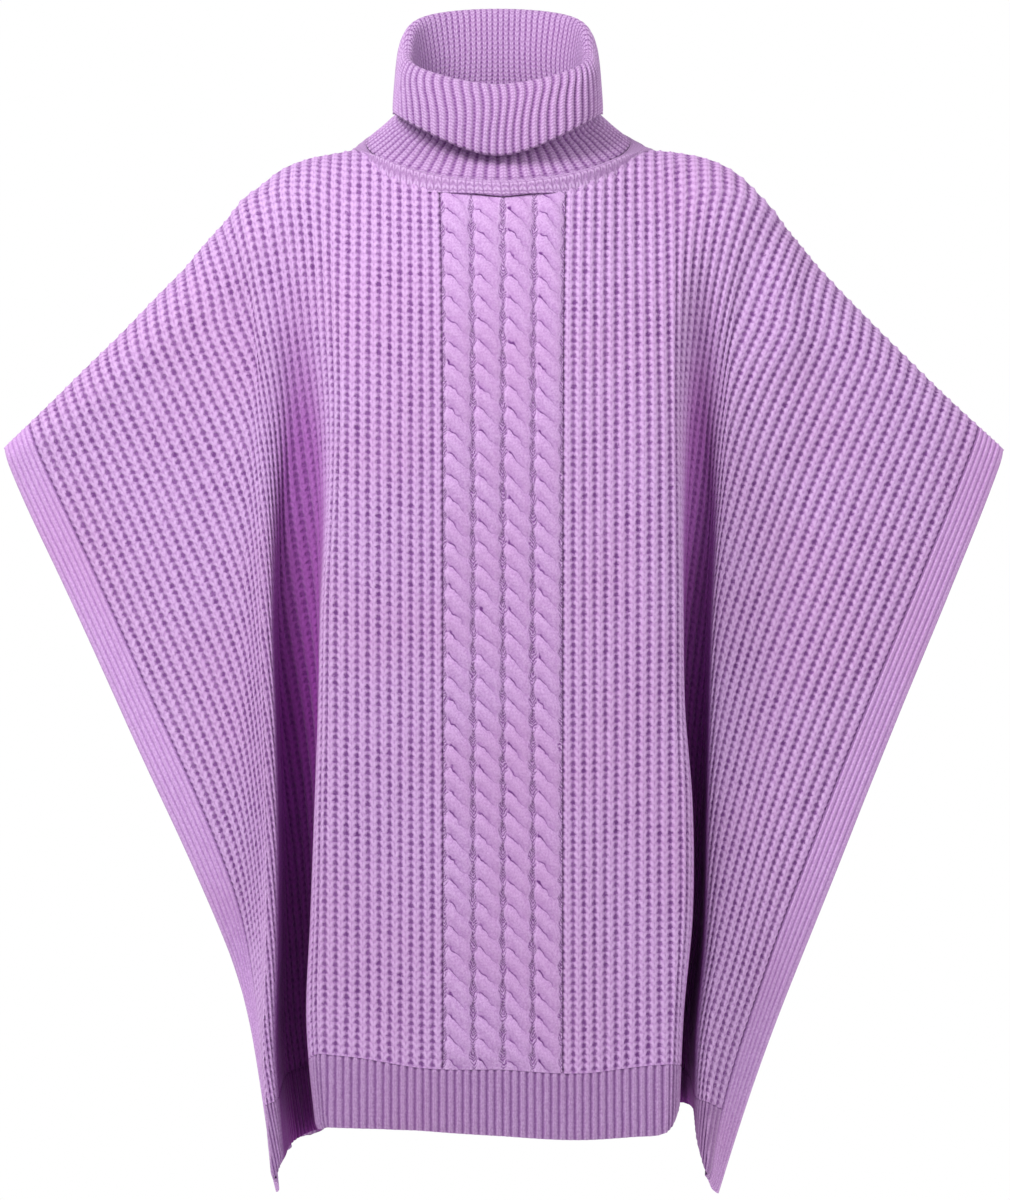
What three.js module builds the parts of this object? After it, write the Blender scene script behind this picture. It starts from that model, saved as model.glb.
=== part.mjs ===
// A knitted poncho sweater, standing hollow as it is worn: a wide front and back joined along the
// overarm, deep folds between body and wings, a cabled centre, and a collar turned over on itself.
// Millimetres, +Z up, the front towards -Y. The origin is the centre of the neck at shoulder height.
import * as THREE from 'three';

const wall = 4; // thickness of the knitting between its ribs
const gap = 0.3; // between pieces at a straight seam
const hemGap = 1.2; // at the hem ribs, whose seam bends round the folds
const neckGap = 1; // below the neck's rolled welt, whose seam bends most
const degree = Math.PI / 180;

// The cut of one panel, laid flat. Across is from its centre line, down from the top of the shoulder.
const cut = {
  halfWidth: 440,
  neckHalf: 120,
  shoulderSlope: 26 * degree,
  hemDown: 757,
  borderWidth: 25,
  hemRibHeight: 53,
  cableHalf: 46,
};
const panelHalf = cut.halfWidth - cut.borderWidth;

// Raised stitches: how far ribs and cables stand above and below the plain wall.
const rib = { pitch: 8.3, high: 0.9, low: -0.7 };
const cable = { count: 4, crossing: 16.5, high: 3.4, low: 0.2 };
// The welt's bulge, and how far its lean out and up goes for each millimetre of that.
const welt = { bulge: 5, shoulder: 0.6, out: 0.8, up: 0.6, segments: 48, clear: 0.5 };
const collarRibs = 64;
const collarHeight = 0.8; // of its ribs, as a share of the body's
const plainSegments = 40; // round the collar's smooth inside
const borderRibs = 4;

// The body's cloth runs slightly longer round the front than its width.
const bodyEase = 1.03;
const foldRadius = 8;
// Spacing of the columns on the plain inside.
const coarse = 25;
// Past this distance from its apex a wing has turned in all the way.
const wingSettles = 90;
// The cables spread towards the neckline: how far across and how far down that reaches.
const spread = { across: 70, down: 90 };

// Radius that the cloth rolls over the shoulder and arm with, for each place across.
const armRoll = [
  { across: 0, radius: 0.01 },
  { across: 60, radius: 10 },
  { across: 120, radius: 30 },
  { across: 200, radius: 42 },
  { across: 300, radius: 36 },
  { across: 380, radius: 26 },
  { across: 440, radius: 12 },
];

// How far the cloth leans out from the arm line besides that roll, for each share of its drop.
const leanAcross = { centre: 0, half: 60, neck: 120, shoulder: 200, arm: 300, edge: 440 };
const frontLean = [
  { down: 0, centre: 66, half: 28, neck: 0, shoulder: 0, arm: 0, edge: 0 },
  { down: 0.03, centre: 77, half: 50, neck: 4, shoulder: 0, arm: 0, edge: 0 },
  { down: 0.06, centre: 87, half: 66, neck: 14, shoulder: 1, arm: 0, edge: 0 },
  { down: 0.1, centre: 98, half: 80, neck: 32, shoulder: 8, arm: 1, edge: 1 },
  { down: 0.2, centre: 115, half: 103, neck: 64, shoulder: 26, arm: 8, edge: 6 },
  { down: 0.35, centre: 126, half: 116, neck: 86, shoulder: 48, arm: 24, edge: 20 },
  { down: 0.6, centre: 130, half: 120, neck: 93, shoulder: 64, arm: 50, edge: 50 },
  { down: 1, centre: 130, half: 121, neck: 95, shoulder: 74, arm: 77, edge: 94 },
];
const backLean = [
  { down: 0, centre: 72, half: 50, neck: 0, shoulder: 0, arm: 0, edge: 0 },
  { down: 0.03, centre: 80, half: 62, neck: 6, shoulder: 0, arm: 0, edge: 0 },
  { down: 0.06, centre: 87, half: 72, neck: 18, shoulder: 2, arm: 0, edge: 0 },
  { down: 0.1, centre: 96, half: 82, neck: 36, shoulder: 10, arm: 1, edge: 1 },
  { down: 0.2, centre: 112, half: 102, neck: 66, shoulder: 30, arm: 10, edge: 8 },
  { down: 0.35, centre: 121, half: 112, neck: 82, shoulder: 50, arm: 28, edge: 26 },
  { down: 0.6, centre: 126, half: 117, neck: 90, shoulder: 68, arm: 56, edge: 60 },
  { down: 1, centre: 136, half: 127, neck: 102, shoulder: 82, arm: 86, edge: 102 },
];

// How far each wing turns in under its shoulder, for each angle out from straight down.
const wingTurn = [
  { angle: 16, left: 18, right: 20, backLeft: 19.5, backRight: 19.5 },
  { angle: 20, left: 21, right: 21.1, backLeft: 21, backRight: 20.8 },
  { angle: 26, left: 23.8, right: 21.7, backLeft: 22.8, backRight: 22 },
  { angle: 38, left: 23.3, right: 21.2, backLeft: 22.5, backRight: 21.6 },
  { angle: 50, left: 22, right: 20.1, backLeft: 21.6, backRight: 20.4 },
  { angle: 66, left: 19, right: 18.6, backLeft: 19, backRight: 18.6 },
  { angle: 110, left: 19, right: 18.6, backLeft: 19, backRight: 18.6 },
];

// The deep fold between body and wing, a row for each level: where the body turns in, where the
// wing's ridge stands, how deep the cloth goes between them, and how far the wing curls back beyond
// the ridge for each millimetre of its width.
const leftFold = [
  { down: 0, body: 142, ridge: 184, depth: 0, curl: 0 },
  { down: 60, body: 140, ridge: 184, depth: 0, curl: 0 },
  { down: 130, body: 134, ridge: 183, depth: 8, curl: 0 },
  { down: 204, body: 130, ridge: 179, depth: 20, curl: 0 },
  { down: 275, body: 132, ridge: 178, depth: 34, curl: 0 },
  { down: 351, body: 137, ridge: 177, depth: 50, curl: 0 },
  { down: 429, body: 139, ridge: 174, depth: 64, curl: 0 },
  { down: 507, body: 142, ridge: 172, depth: 78, curl: 0.1 },
  { down: 585, body: 145, ridge: 172, depth: 90, curl: 0.35 },
  { down: 663, body: 148, ridge: 173, depth: 98, curl: 0.5 },
  { down: 760, body: 139, ridge: 164.5, depth: 102, curl: 0.7 },
];
const rightFold = [
  { down: 0, body: 140, ridge: 182, depth: 0, curl: 0 },
  { down: 60, body: 140, ridge: 179, depth: 0, curl: 0 },
  { down: 130, body: 138, ridge: 172, depth: 8, curl: 0 },
  { down: 204, body: 136, ridge: 166, depth: 20, curl: 0 },
  { down: 275, body: 136, ridge: 164, depth: 34, curl: 0 },
  { down: 351, body: 136, ridge: 160, depth: 50, curl: 0 },
  { down: 429, body: 137, ridge: 158, depth: 64, curl: 0 },
  { down: 507, body: 143, ridge: 156, depth: 78, curl: 0 },
  { down: 585, body: 143, ridge: 154, depth: 90, curl: 0.15 },
  { down: 663, body: 136, ridge: 147, depth: 98, curl: 0.45 },
  { down: 760, body: 132, ridge: 147, depth: 102, curl: 0.9 },
];
// The back's folds start at the shoulder as the front's do, and run their own way below it.
const shoulderRows = 3;
const backFold = [
  { down: 275, body: 136, ridge: 170, depth: 36, curl: 0 },
  { down: 429, body: 140, ridge: 167, depth: 66, curl: 0 },
  { down: 585, body: 144, ridge: 166, depth: 92, curl: 0.25 },
  { down: 760, body: 140, ridge: 164, depth: 106, curl: 0.95 },
];

// One half of that fold's section, from its mouth to its bottom. Turn is the way round the mouth's
// corner, cross the way from the corner to the middle and dip the share of the depth.
const foldProfile = [
  { along: 0, turn: 0, cross: 0, dip: 0 },
  { along: 0.05, turn: 0.62, cross: 0, dip: 0.025 },
  { along: 0.1, turn: 0.94, cross: 0, dip: 0.09 },
  { along: 0.16, turn: 1, cross: 0.02, dip: 0.22 },
  { along: 0.25, turn: 1, cross: 0.06, dip: 0.46 },
  { along: 0.36, turn: 1, cross: 0.12, dip: 0.78 },
  { along: 0.43, turn: 1, cross: 0.4, dip: 0.95 },
  { along: 0.5, turn: 1, cross: 1, dip: 1 },
];
const foldSteps = [
  ...foldProfile.map((row) => row.along),
  ...foldProfile.slice(0, -1).reverse().map((row) => 1 - row.along),
];

// How far up the hem is trimmed, for each place across.
const leftHem = [
  { across: 0, lift: 3 },
  { across: 60, lift: 6 },
  { across: 90, lift: 3 },
  { across: 112, lift: 0 },
  { across: 140, lift: -2 },
  { across: 152, lift: -2 },
  { across: 180, lift: 2 },
  { across: 220, lift: 3 },
  { across: 260, lift: 4 },
  { across: 300, lift: 1 },
  { across: 340, lift: 3 },
  { across: 380, lift: 7 },
  { across: 404, lift: 2 },
  { across: 440, lift: 0 },
];
const rightHem = [
  { across: 0, lift: 3 },
  { across: 60, lift: 3 },
  { across: 100, lift: 1 },
  { across: 118, lift: 0 },
  { across: 126, lift: 1.5 },
  { across: 134, lift: 4.5 },
  { across: 142, lift: 8.5 },
  { across: 150, lift: 13.5 },
  { across: 160, lift: 19 },
  { across: 180, lift: 23 },
  { across: 220, lift: 25 },
  { across: 260, lift: 27 },
  { across: 300, lift: 30 },
  { across: 340, lift: 34 },
  { across: 362, lift: 27 },
  { across: 380, lift: 16 },
  { across: 400, lift: 5 },
  { across: 412, lift: 0 },
  { across: 440, lift: -7 },
];
const backLeftHem = [
  { across: 0, lift: 0 },
  { across: 380, lift: 2 },
  { across: 404, lift: 5 },
  { across: 424, lift: 8 },
  { across: 440, lift: 12 },
];
const backRightHem = [
  { across: 0, lift: 0 },
  { across: 150, lift: 0 },
  { across: 180, lift: 4 },
  { across: 220, lift: 12 },
  { across: 260, lift: 20 },
  { across: 284, lift: 18 },
  { across: 310, lift: 8 },
  { across: 350, lift: 0 },
  { across: 440, lift: 6 },
];

// How far the shoulders stand above the straight seam, for each place across, fading out down the cloth.
const shoulderFades = 160;
const leftShoulder = [
  { across: 121, rise: 0 },
  { across: 140, rise: 6 },
  { across: 160, rise: 14 },
  { across: 180, rise: 19.5 },
  { across: 200, rise: 16 },
  { across: 225, rise: 9 },
  { across: 240, rise: 10.5 },
  { across: 262, rise: 15 },
  { across: 290, rise: 13 },
  { across: 330, rise: 7 },
  { across: 380, rise: 5.8 },
  { across: 440, rise: 8 },
];
const rightShoulder = [
  { across: 121, rise: 0 },
  { across: 140, rise: 7.5 },
  { across: 160, rise: 12.8 },
  { across: 178, rise: 12 },
  { across: 200, rise: 2.5 },
  { across: 222, rise: -4.5 },
  { across: 258, rise: 3 },
  { across: 290, rise: 1.5 },
  { across: 330, rise: -2 },
  { across: 375, rise: -3.6 },
  { across: 440, rise: 0 },
];

// Each face of the garment: its side, its neckline and the folds of its two halves.
const front = {
  facing: -1,
  lean: frontLean,
  neckDrop: 44,
  neckLift: 0,
  cableSpread: 0.17,
  left: {
    fold: leftFold,
    turn: 'left',
    apexAcross: 190,
    apexDown: 43,
    ridgeSlope: 0.298,
    droop: 9,
    shoulder: leftShoulder,
    hemBulge: 10,
    hemLift: leftHem,
  },
  right: {
    fold: rightFold,
    turn: 'right',
    apexAcross: 178,
    apexDown: 45,
    ridgeSlope: 0.316,
    droop: 0,
    shoulder: rightShoulder,
    hemBulge: 18,
    hemLift: rightHem,
  },
};
const backHalf = (half, turn, hemLift) => ({
  ...half,
  fold: [...half.fold.slice(0, shoulderRows), ...backFold],
  turn,
  hemBulge: 12,
  hemLift,
});
const back = {
  facing: 1,
  lean: backLean,
  neckDrop: 4,
  neckLift: 14,
  cableSpread: 0,
  left: backHalf(front.left, 'backLeft', backLeftHem),
  right: backHalf(front.right, 'backRight', backRightHem),
};

// The neck, from the welt's top edge round the turned-over collar and back down its inside.
const collarRows = {
  base: {
    half: 103,
    front: 78,
    back: 69,
    frontZ: -31,
    sideZ: 6,
    backZ: 27,
    relief: 0.4,
    square: 0,
    arch: 0,
  },
  flare: {
    half: 86,
    front: 67,
    back: 65,
    frontZ: -12,
    sideZ: 19,
    backZ: 47,
    relief: 1,
    square: 0,
    arch: 0,
  },
  tube: {
    half: 72,
    front: 60,
    back: 63,
    frontZ: 2,
    sideZ: 33,
    backZ: 66,
    relief: 1,
    square: 0.3,
    arch: 0,
  },
  tubeTop: {
    half: 70,
    front: 57,
    back: 69,
    frontZ: 33,
    sideZ: 64,
    backZ: 107,
    relief: 0,
    square: 1,
    arch: 0.3,
  },
  foldTop: {
    half: 72.5,
    front: 60,
    back: 72,
    frontZ: 33,
    sideZ: 64,
    backZ: 107,
    relief: 0,
    square: 1,
    arch: 0.3,
  },
  foldBottom: {
    half: 78,
    front: 72.5,
    back: 77,
    frontZ: -11,
    sideZ: 30,
    backZ: 63,
    relief: 0,
    square: 1,
    arch: 0.8,
  },
  hemBottom: {
    half: 81,
    front: 77,
    back: 82,
    frontZ: -12,
    sideZ: 29,
    backZ: 62,
    relief: 1,
    square: 1,
    arch: 0.8,
  },
  hemMiddle: {
    half: 80,
    front: 74,
    back: 83,
    frontZ: 14,
    sideZ: 52,
    backZ: 88,
    relief: 1,
    square: 1,
    arch: 0.55,
  },
  hemTop: {
    half: 77.5,
    front: 66.5,
    back: 81,
    frontZ: 36,
    sideZ: 70,
    backZ: 112,
    relief: 1,
    square: 1,
    arch: 0.35,
  },
  rim: {
    half: 71.5,
    front: 58,
    back: 75,
    frontZ: 45,
    sideZ: 79,
    backZ: 120,
    relief: 0.5,
    square: 1,
    arch: 0.3,
  },
  innerTop: {
    half: 65,
    front: 50.5,
    back: 66,
    frontZ: 36,
    sideZ: 70,
    backZ: 111,
    relief: 0,
    square: 1,
    arch: 0.3,
  },
  innerLow: {
    half: 67,
    front: 55,
    back: 58,
    frontZ: 2,
    sideZ: 35,
    backZ: 64,
    relief: 0,
    square: 0.3,
    arch: 0,
  },
  innerBase: {
    half: 100,
    front: 75,
    back: 66,
    frontZ: -33.5,
    sideZ: 3,
    backZ: 23.5,
    relief: 0,
    square: 0,
    arch: 0,
  },
};
// A squared row's plan is a rounded oblong of this power. Its front rises towards the sides by the
// row's arch and its back is flatter by this one, turning from one to the other around the sides.
const oblong = 3;
const backArch = -0.35;
const archTurn = 0.35;
const collarCentre = -4;

const clamp = (value, low, high) => Math.min(Math.max(value, low), high);
const mix = (a, b, share) => a + (b - a) * share;

function smooth(low, high, value) {
  const t = clamp((value - low) / (high - low), 0, 1);
  return t * t * (3 - 2 * t);
}

// A smooth curve through a table's rows, flat beyond its ends.
function curve(rows, by, column, at) {
  const last = rows.length - 1;
  if (at <= rows[0][by]) return rows[0][column];
  if (at >= rows[last][by]) return rows[last][column];
  let k = 0;
  while (at > rows[k + 1][by]) k += 1;
  const slope = (i) => {
    const a = rows[Math.max(i - 1, 0)];
    const b = rows[Math.min(i + 1, last)];
    return (b[column] - a[column]) / (b[by] - a[by]);
  };
  const width = rows[k + 1][by] - rows[k][by];
  const t = (at - rows[k][by]) / width;
  const t2 = t * t;
  const t3 = t2 * t;
  return (
    rows[k][column] * (2 * t3 - 3 * t2 + 1) +
    slope(k) * width * (t3 - 2 * t2 + t) +
    rows[k + 1][column] * (3 * t2 - 2 * t3) +
    slope(k + 1) * width * (t3 - t2)
  );
}

// Flat cut: the height of its shoulder seam, its hem and its neckline at a place across.
const seamDown = (across) => Math.max(0, Math.abs(across) - cut.neckHalf) * Math.tan(cut.shoulderSlope);

function fullDown(face, across) {
  const side = across < 0 ? face.left : face.right;
  const share = Math.abs(across) / cut.halfWidth;
  return cut.hemDown + side.hemBulge * 4 * share * (1 - share);
}

function hemDown(face, across) {
  const side = across < 0 ? face.left : face.right;
  return fullDown(face, across) - curve(side.hemLift, 'across', 'lift', Math.abs(across));
}

function neckDown(face, across) {
  const share = clamp(Math.abs(across) / cut.neckHalf, 0, 1);
  return face.neckDrop * (1 - share ** 1.8) ** (1 / 1.8);
}

function topDown(face, across) {
  return Math.abs(across) < cut.neckHalf ? neckDown(face, across) : seamDown(across);
}

function leanAt(face, across, share) {
  const places = Object.entries(leanAcross).map(([column, place]) => ({
    place,
    lean: curve(face.lean, 'down', column, share),
  }));
  return curve(places, 'place', 'lean', across);
}

// Where a point of a wing lies once the wing has turned in under its shoulder.
function wingPoint(side, across, level) {
  const out = across - side.apexAcross;
  const below = level - side.apexDown;
  const reach = Math.hypot(out, below);
  const angle = Math.atan2(out, below) / degree;
  const turn = curve(wingTurn, 'angle', side.turn, angle) * smooth(0, wingSettles, reach);
  const turned = (angle - turn) * degree;
  return { x: side.apexAcross + reach * Math.sin(turned), level: side.apexDown + reach * Math.cos(turned) };
}

// Across on the flat cloth where the body's face ends and where the wing's face begins.
const bodyLine = (side, level) => bodyEase * (curve(side.fold, 'down', 'body', level) - foldRadius);
function ridgeLine(side, level) {
  return side.apexAcross + foldRadius + Math.max(0, level - side.apexDown) * side.ridgeSlope;
}

// The level on the hanging cloth at a distance down a column, which the fold lines are given by.
function levelAt(across, down) {
  const out = Math.abs(across);
  const radius = curve(armRoll, 'across', 'radius', out);
  const below = down - seamDown(out);
  const roll = clamp(below / radius, 0, Math.PI / 2);
  if (below <= 0) return down;
  if (roll < Math.PI / 2) return seamDown(out) + radius * (1 - Math.cos(roll));
  return seamDown(out) + below - (Math.PI / 2 - 1) * radius;
}

// The outer face of the plain cloth: a point of the flat cut, as it hangs.
function clothPoint(face, across, down) {
  const side = across < 0 ? face.left : face.right;
  const out = Math.abs(across);
  const seam = seamDown(out);
  const below = down - seam;
  const radius = curve(armRoll, 'across', 'radius', out);
  const roll = clamp(below / radius, 0, Math.PI / 2);
  const level = levelAt(across, down);
  const share = clamp(below / (fullDown(face, across) - seam), 0, 1);
  let depth = radius * Math.sin(roll) + leanAt(face, out, share);

  const rise = curve(side.shoulder, 'across', 'rise', out) * Math.exp(-Math.max(below, 0) / shoulderFades);
  const droop = side.droop * smooth(140, 200, out) - rise;
  const lift = face.neckLift * (1 - smooth(0, cut.neckHalf, out)) * Math.exp(-Math.max(level, 0) / 100);
  const bodyEnd = bodyLine(side, level);
  const wingStart = ridgeLine(side, level);
  const ridgeX = curve(side.fold, 'down', 'ridge', level) + foldRadius;
  const spreading = Math.exp(-((out / spread.across) ** 2) - Math.max(level, 0) / spread.down);
  let x = (out / bodyEase) * (1 + face.cableSpread * spreading);
  let fall = level;
  if (out >= wingStart) {
    const place = wingPoint(side, out, level);
    const start = wingPoint(side, wingStart, level);
    const past = out - wingStart;
    x = place.x + (ridgeX - start.x) * (1 - smooth(0, cut.halfWidth - wingStart, past));
    fall = place.level;
    depth -= curve(side.fold, 'down', 'curl', level) * past;
  } else if (out > bodyEnd) {
    const bodyX = bodyEnd / bodyEase;
    const along = (out - bodyEnd) / (wingStart - bodyEnd);
    const half = Math.min(along, 1 - along);
    const turn = foldRadius * curve(foldProfile, 'along', 'turn', half);
    const middle = (bodyX + ridgeX) / 2;
    const cross = curve(foldProfile, 'along', 'cross', half) * (middle - bodyX - foldRadius);
    const steepX = along < 0.5 ? bodyX + turn + cross : ridgeX - turn - cross;
    const steep = smooth(130, 420, level);
    const dip = mix(Math.sin(Math.PI * along) ** 2, curve(foldProfile, 'along', 'dip', half), steep);
    x = mix(mix(bodyX, ridgeX, along), steepX, steep);
    fall = mix(level, wingPoint(side, wingStart, level).level, along);
    depth -= curve(side.fold, 'down', 'depth', level) * dip;
  }
  return new THREE.Vector3(
    across < 0 ? -x : x,
    face.facing * Math.max(depth, gap / 2),
    lift - droop - fall,
  );
}

// Which way the cloth faces there. On the overarm seam it faces straight up and out, and both sides
// of the hem's seam face the way that the seam does.
function clothNormal(face, across, place) {
  const step = 1;
  const top = seamDown(across);
  const seam = fullDown(face, across) - cut.hemRibHeight;
  const down = Math.abs(place - seam) < hemGap ? seam : place;
  const before = clothPoint(face, across - step, Math.max(down, seamDown(across - step) + 0.02));
  const after = clothPoint(face, across + step, Math.max(down, seamDown(across + step) + 0.02));
  const above = clothPoint(face, across, Math.max(down - step, Math.min(down, top)));
  const below = clothPoint(face, across, down + step);
  const normal = after.sub(before).cross(below.sub(above)).multiplyScalar(face.facing).normalize();
  if (Math.abs(across) >= cut.neckHalf - 0.01 && down - top < 0.5) normal.setY(0).normalize();
  return normal;
}

// Keeps a point on its own side of the overarm seam.
function keepToSide(face, point) {
  point.y = face.facing * Math.max(face.facing * point.y, gap / 2);
  return point;
}

// A mesh under construction, with each triangle's corners shared.
class Skin {
  constructor(flipped) {
    this.flipped = flipped;
    this.points = [];
    this.faces = [];
  }

  add(point) {
    this.points.push(point.x, point.y, point.z);
    return this.points.length / 3 - 1;
  }

  face(a, b, c) {
    if (a === b || b === c || a === c) return;
    if (this.flipped) this.faces.push(a, c, b);
    else this.faces.push(a, b, c);
  }

  // Fills the strip between two chains of {index, at}, each ordered by at, which runs 0 to 1. Where
  // both are level, the lead goes on first, so that the two sides of a seam have the same diagonals.
  strip(first, second, lead = first) {
    const level = 1e-6;
    let i = 0;
    let j = 0;
    while (i < first.length - 1 || j < second.length - 1) {
      const nextFirst = i < first.length - 1 ? first[i + 1].at : Infinity;
      const nextSecond = j < second.length - 1 ? second[j + 1].at : Infinity;
      const firstGoes = lead === first ? nextFirst <= nextSecond + level : nextFirst < nextSecond - level;
      if (firstGoes) {
        this.face(first[i].index, first[i + 1].index, second[j].index);
        i += 1;
      } else {
        this.face(first[i].index, second[j + 1].index, second[j].index);
        j += 1;
      }
    }
  }

  mesh(name, material) {
    const geometry = new THREE.BufferGeometry();
    geometry.setAttribute('position', new THREE.Float32BufferAttribute(this.points, 3));
    geometry.setIndex(this.faces);
    geometry.computeVertexNormals();
    const mesh = new THREE.Mesh(geometry, material);
    mesh.name = name;
    return mesh;
  }
}

// Puts at, the share of the way along, on each item of a chain.
function chain(items, along) {
  const start = along(items[0]);
  const end = along(items[items.length - 1]);
  return items.map((item) => ({ ...item, at: (along(item) - start) / (end - start || 1) }));
}

// The rows down a column: close together over the shoulder's roll, then far apart.
function rowsDown(top, bottom) {
  const rollRows = [0, 12, 28, 50, 82];
  const longest = 158;
  const length = bottom - top;
  const near = rollRows.filter((row) => row === 0 || row < length - 14);
  const start = near[near.length - 1];
  const count = Math.max(1, Math.ceil((length - start) / longest));
  const rest = Array.from({ length: count }, (_, k) => start + ((length - start) * (k + 1)) / count);
  return [...near, ...rest].map((row) => top + row);
}

const steps = (from, to, count) => Array.from({ length: count + 1 }, (_, k) => mix(from, to, k / count));

// Down the flat cloth to where the wing's ridge crosses a column, or to the bottom before that.
function ridgeDown(side, out, bottom) {
  let low = seamDown(out);
  let high = bottom;
  if (ridgeLine(side, levelAt(out, bottom)) < out) return bottom;
  for (let k = 0; k < 40; k += 1) {
    const middle = (low + high) / 2;
    if (ridgeLine(side, levelAt(out, middle)) < out) low = middle;
    else high = middle;
  }
  return high;
}

// Across where the ridge meets the bottom edge.
function ridgeFoot(face, side, sign, lift) {
  let low = side.apexAcross + foldRadius;
  let high = panelHalf;
  for (let k = 0; k < 40; k += 1) {
    const middle = (low + high) / 2;
    const bottom = fullDown(face, sign * middle) - lift;
    if (ridgeLine(side, levelAt(middle, bottom)) < middle) high = middle;
    else low = middle;
  }
  return (low + high) / 2;
}

// A wale stands up on every second column of the knitting.
const waleRelief = (k) => (k % 2 === 0 ? rib.low : rib.high);

// The columns of half a panel from the cables, or the centre, to the side border. Each is a list of
// points {across, down, relief} of the flat cloth. Ridge marks the one that the wing starts from.
function halfColumns(face, sign, start, pitch, raised) {
  const side = sign < 0 ? face.left : face.right;
  const lift = cut.hemRibHeight + hemGap / 2;
  const bottomAt = (out) => fullDown(face, sign * out) - lift;
  const point = (out, down, relief) => ({ across: sign * out, down, relief: raised ? relief : 0 });
  const topAt = (out) => topDown(face, out) + (out < cut.neckHalf ? neckGap : gap / 2);
  // A place across that moves with the level is settled where it meets an edge by trying it again.
  const meet = (place, edge) => {
    let out = place(300);
    for (let k = 0; k < 30; k += 1) out = place(levelAt(out, edge(out)));
    return edge(out);
  };
  const placeAt = (place, down) => {
    let out = place(down);
    for (let k = 0; k < 30; k += 1) out = place(levelAt(out, down));
    return out;
  };
  const moving = (place, relief) => {
    const rows = rowsDown(meet(place, topAt), meet(place, bottomAt));
    return rows.map((down) => point(placeAt(place, down), down, relief));
  };

  const bodyCount = 2 * Math.max(2, Math.round((bodyLine(side, 400) - start) / pitch / 2));
  const body = steps(0, 1, bodyCount).slice(start === 0 ? 0 : 1, -1).map((share, k) =>
    moving((level) => mix(start, bodyLine(side, level), share), waleRelief(k + 1)));
  const fold = foldSteps.slice(0, -1).map((share) =>
    moving((level) => mix(bodyLine(side, level), ridgeLine(side, level), share), 0));

  const foot = ridgeFoot(face, side, sign, lift);
  const first = side.apexAcross + foldRadius;
  const wingCount = 2 * Math.round((panelHalf - gap / 2 - first) / pitch / 2);
  const places = steps(first, panelHalf - gap / 2, wingCount).filter((out) => Math.abs(out - foot) > 1.2);
  const reliefAt = (out, k) => (out < panelHalf - gap ? waleRelief(k) : 0);
  const wing = [...places, foot].sort((a, b) => a - b).map((out, k) =>
    rowsDown(seamDown(out) + gap / 2, ridgeDown(side, out, bottomAt(out)))
      .map((down) => point(out, down, reliefAt(out, k))));
  const footIndex = wing.findIndex((column) => Math.abs(Math.abs(column[0].across) - foot) < 0.001);
  return { body, fold, wing, footIndex };
}

// The cables' columns. Each rope has two crests, whose strands rise and fall in turn.
function cableColumns(face) {
  const lift = cut.hemRibHeight + hemGap / 2;
  const width = (2 * cut.cableHalf) / cable.count;
  const places = [];
  for (let k = 0; k < cable.count; k += 1) {
    const left = -cut.cableHalf + k * width;
    places.push({ across: left, crest: -1 });
    places.push({ across: left + width * 0.3, crest: 0 });
    places.push({ across: left + width * 0.7, crest: 1 });
  }
  places.push({ across: cut.cableHalf, crest: -1 });
  const half = cable.crossing / 2;
  const count = Math.round((cut.hemDown - lift - face.neckDrop) / half);
  return places.map(({ across, crest }) => {
    const top = neckDown(face, across) + neckGap;
    const bottom = fullDown(face, across) - lift;
    return steps(top, bottom, count).map((down, row) => ({
      across,
      down,
      relief: crest < 0 ? -1 : (row + crest) % 2 === 0 ? cable.low : cable.high,
    }));
  });
}

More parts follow.
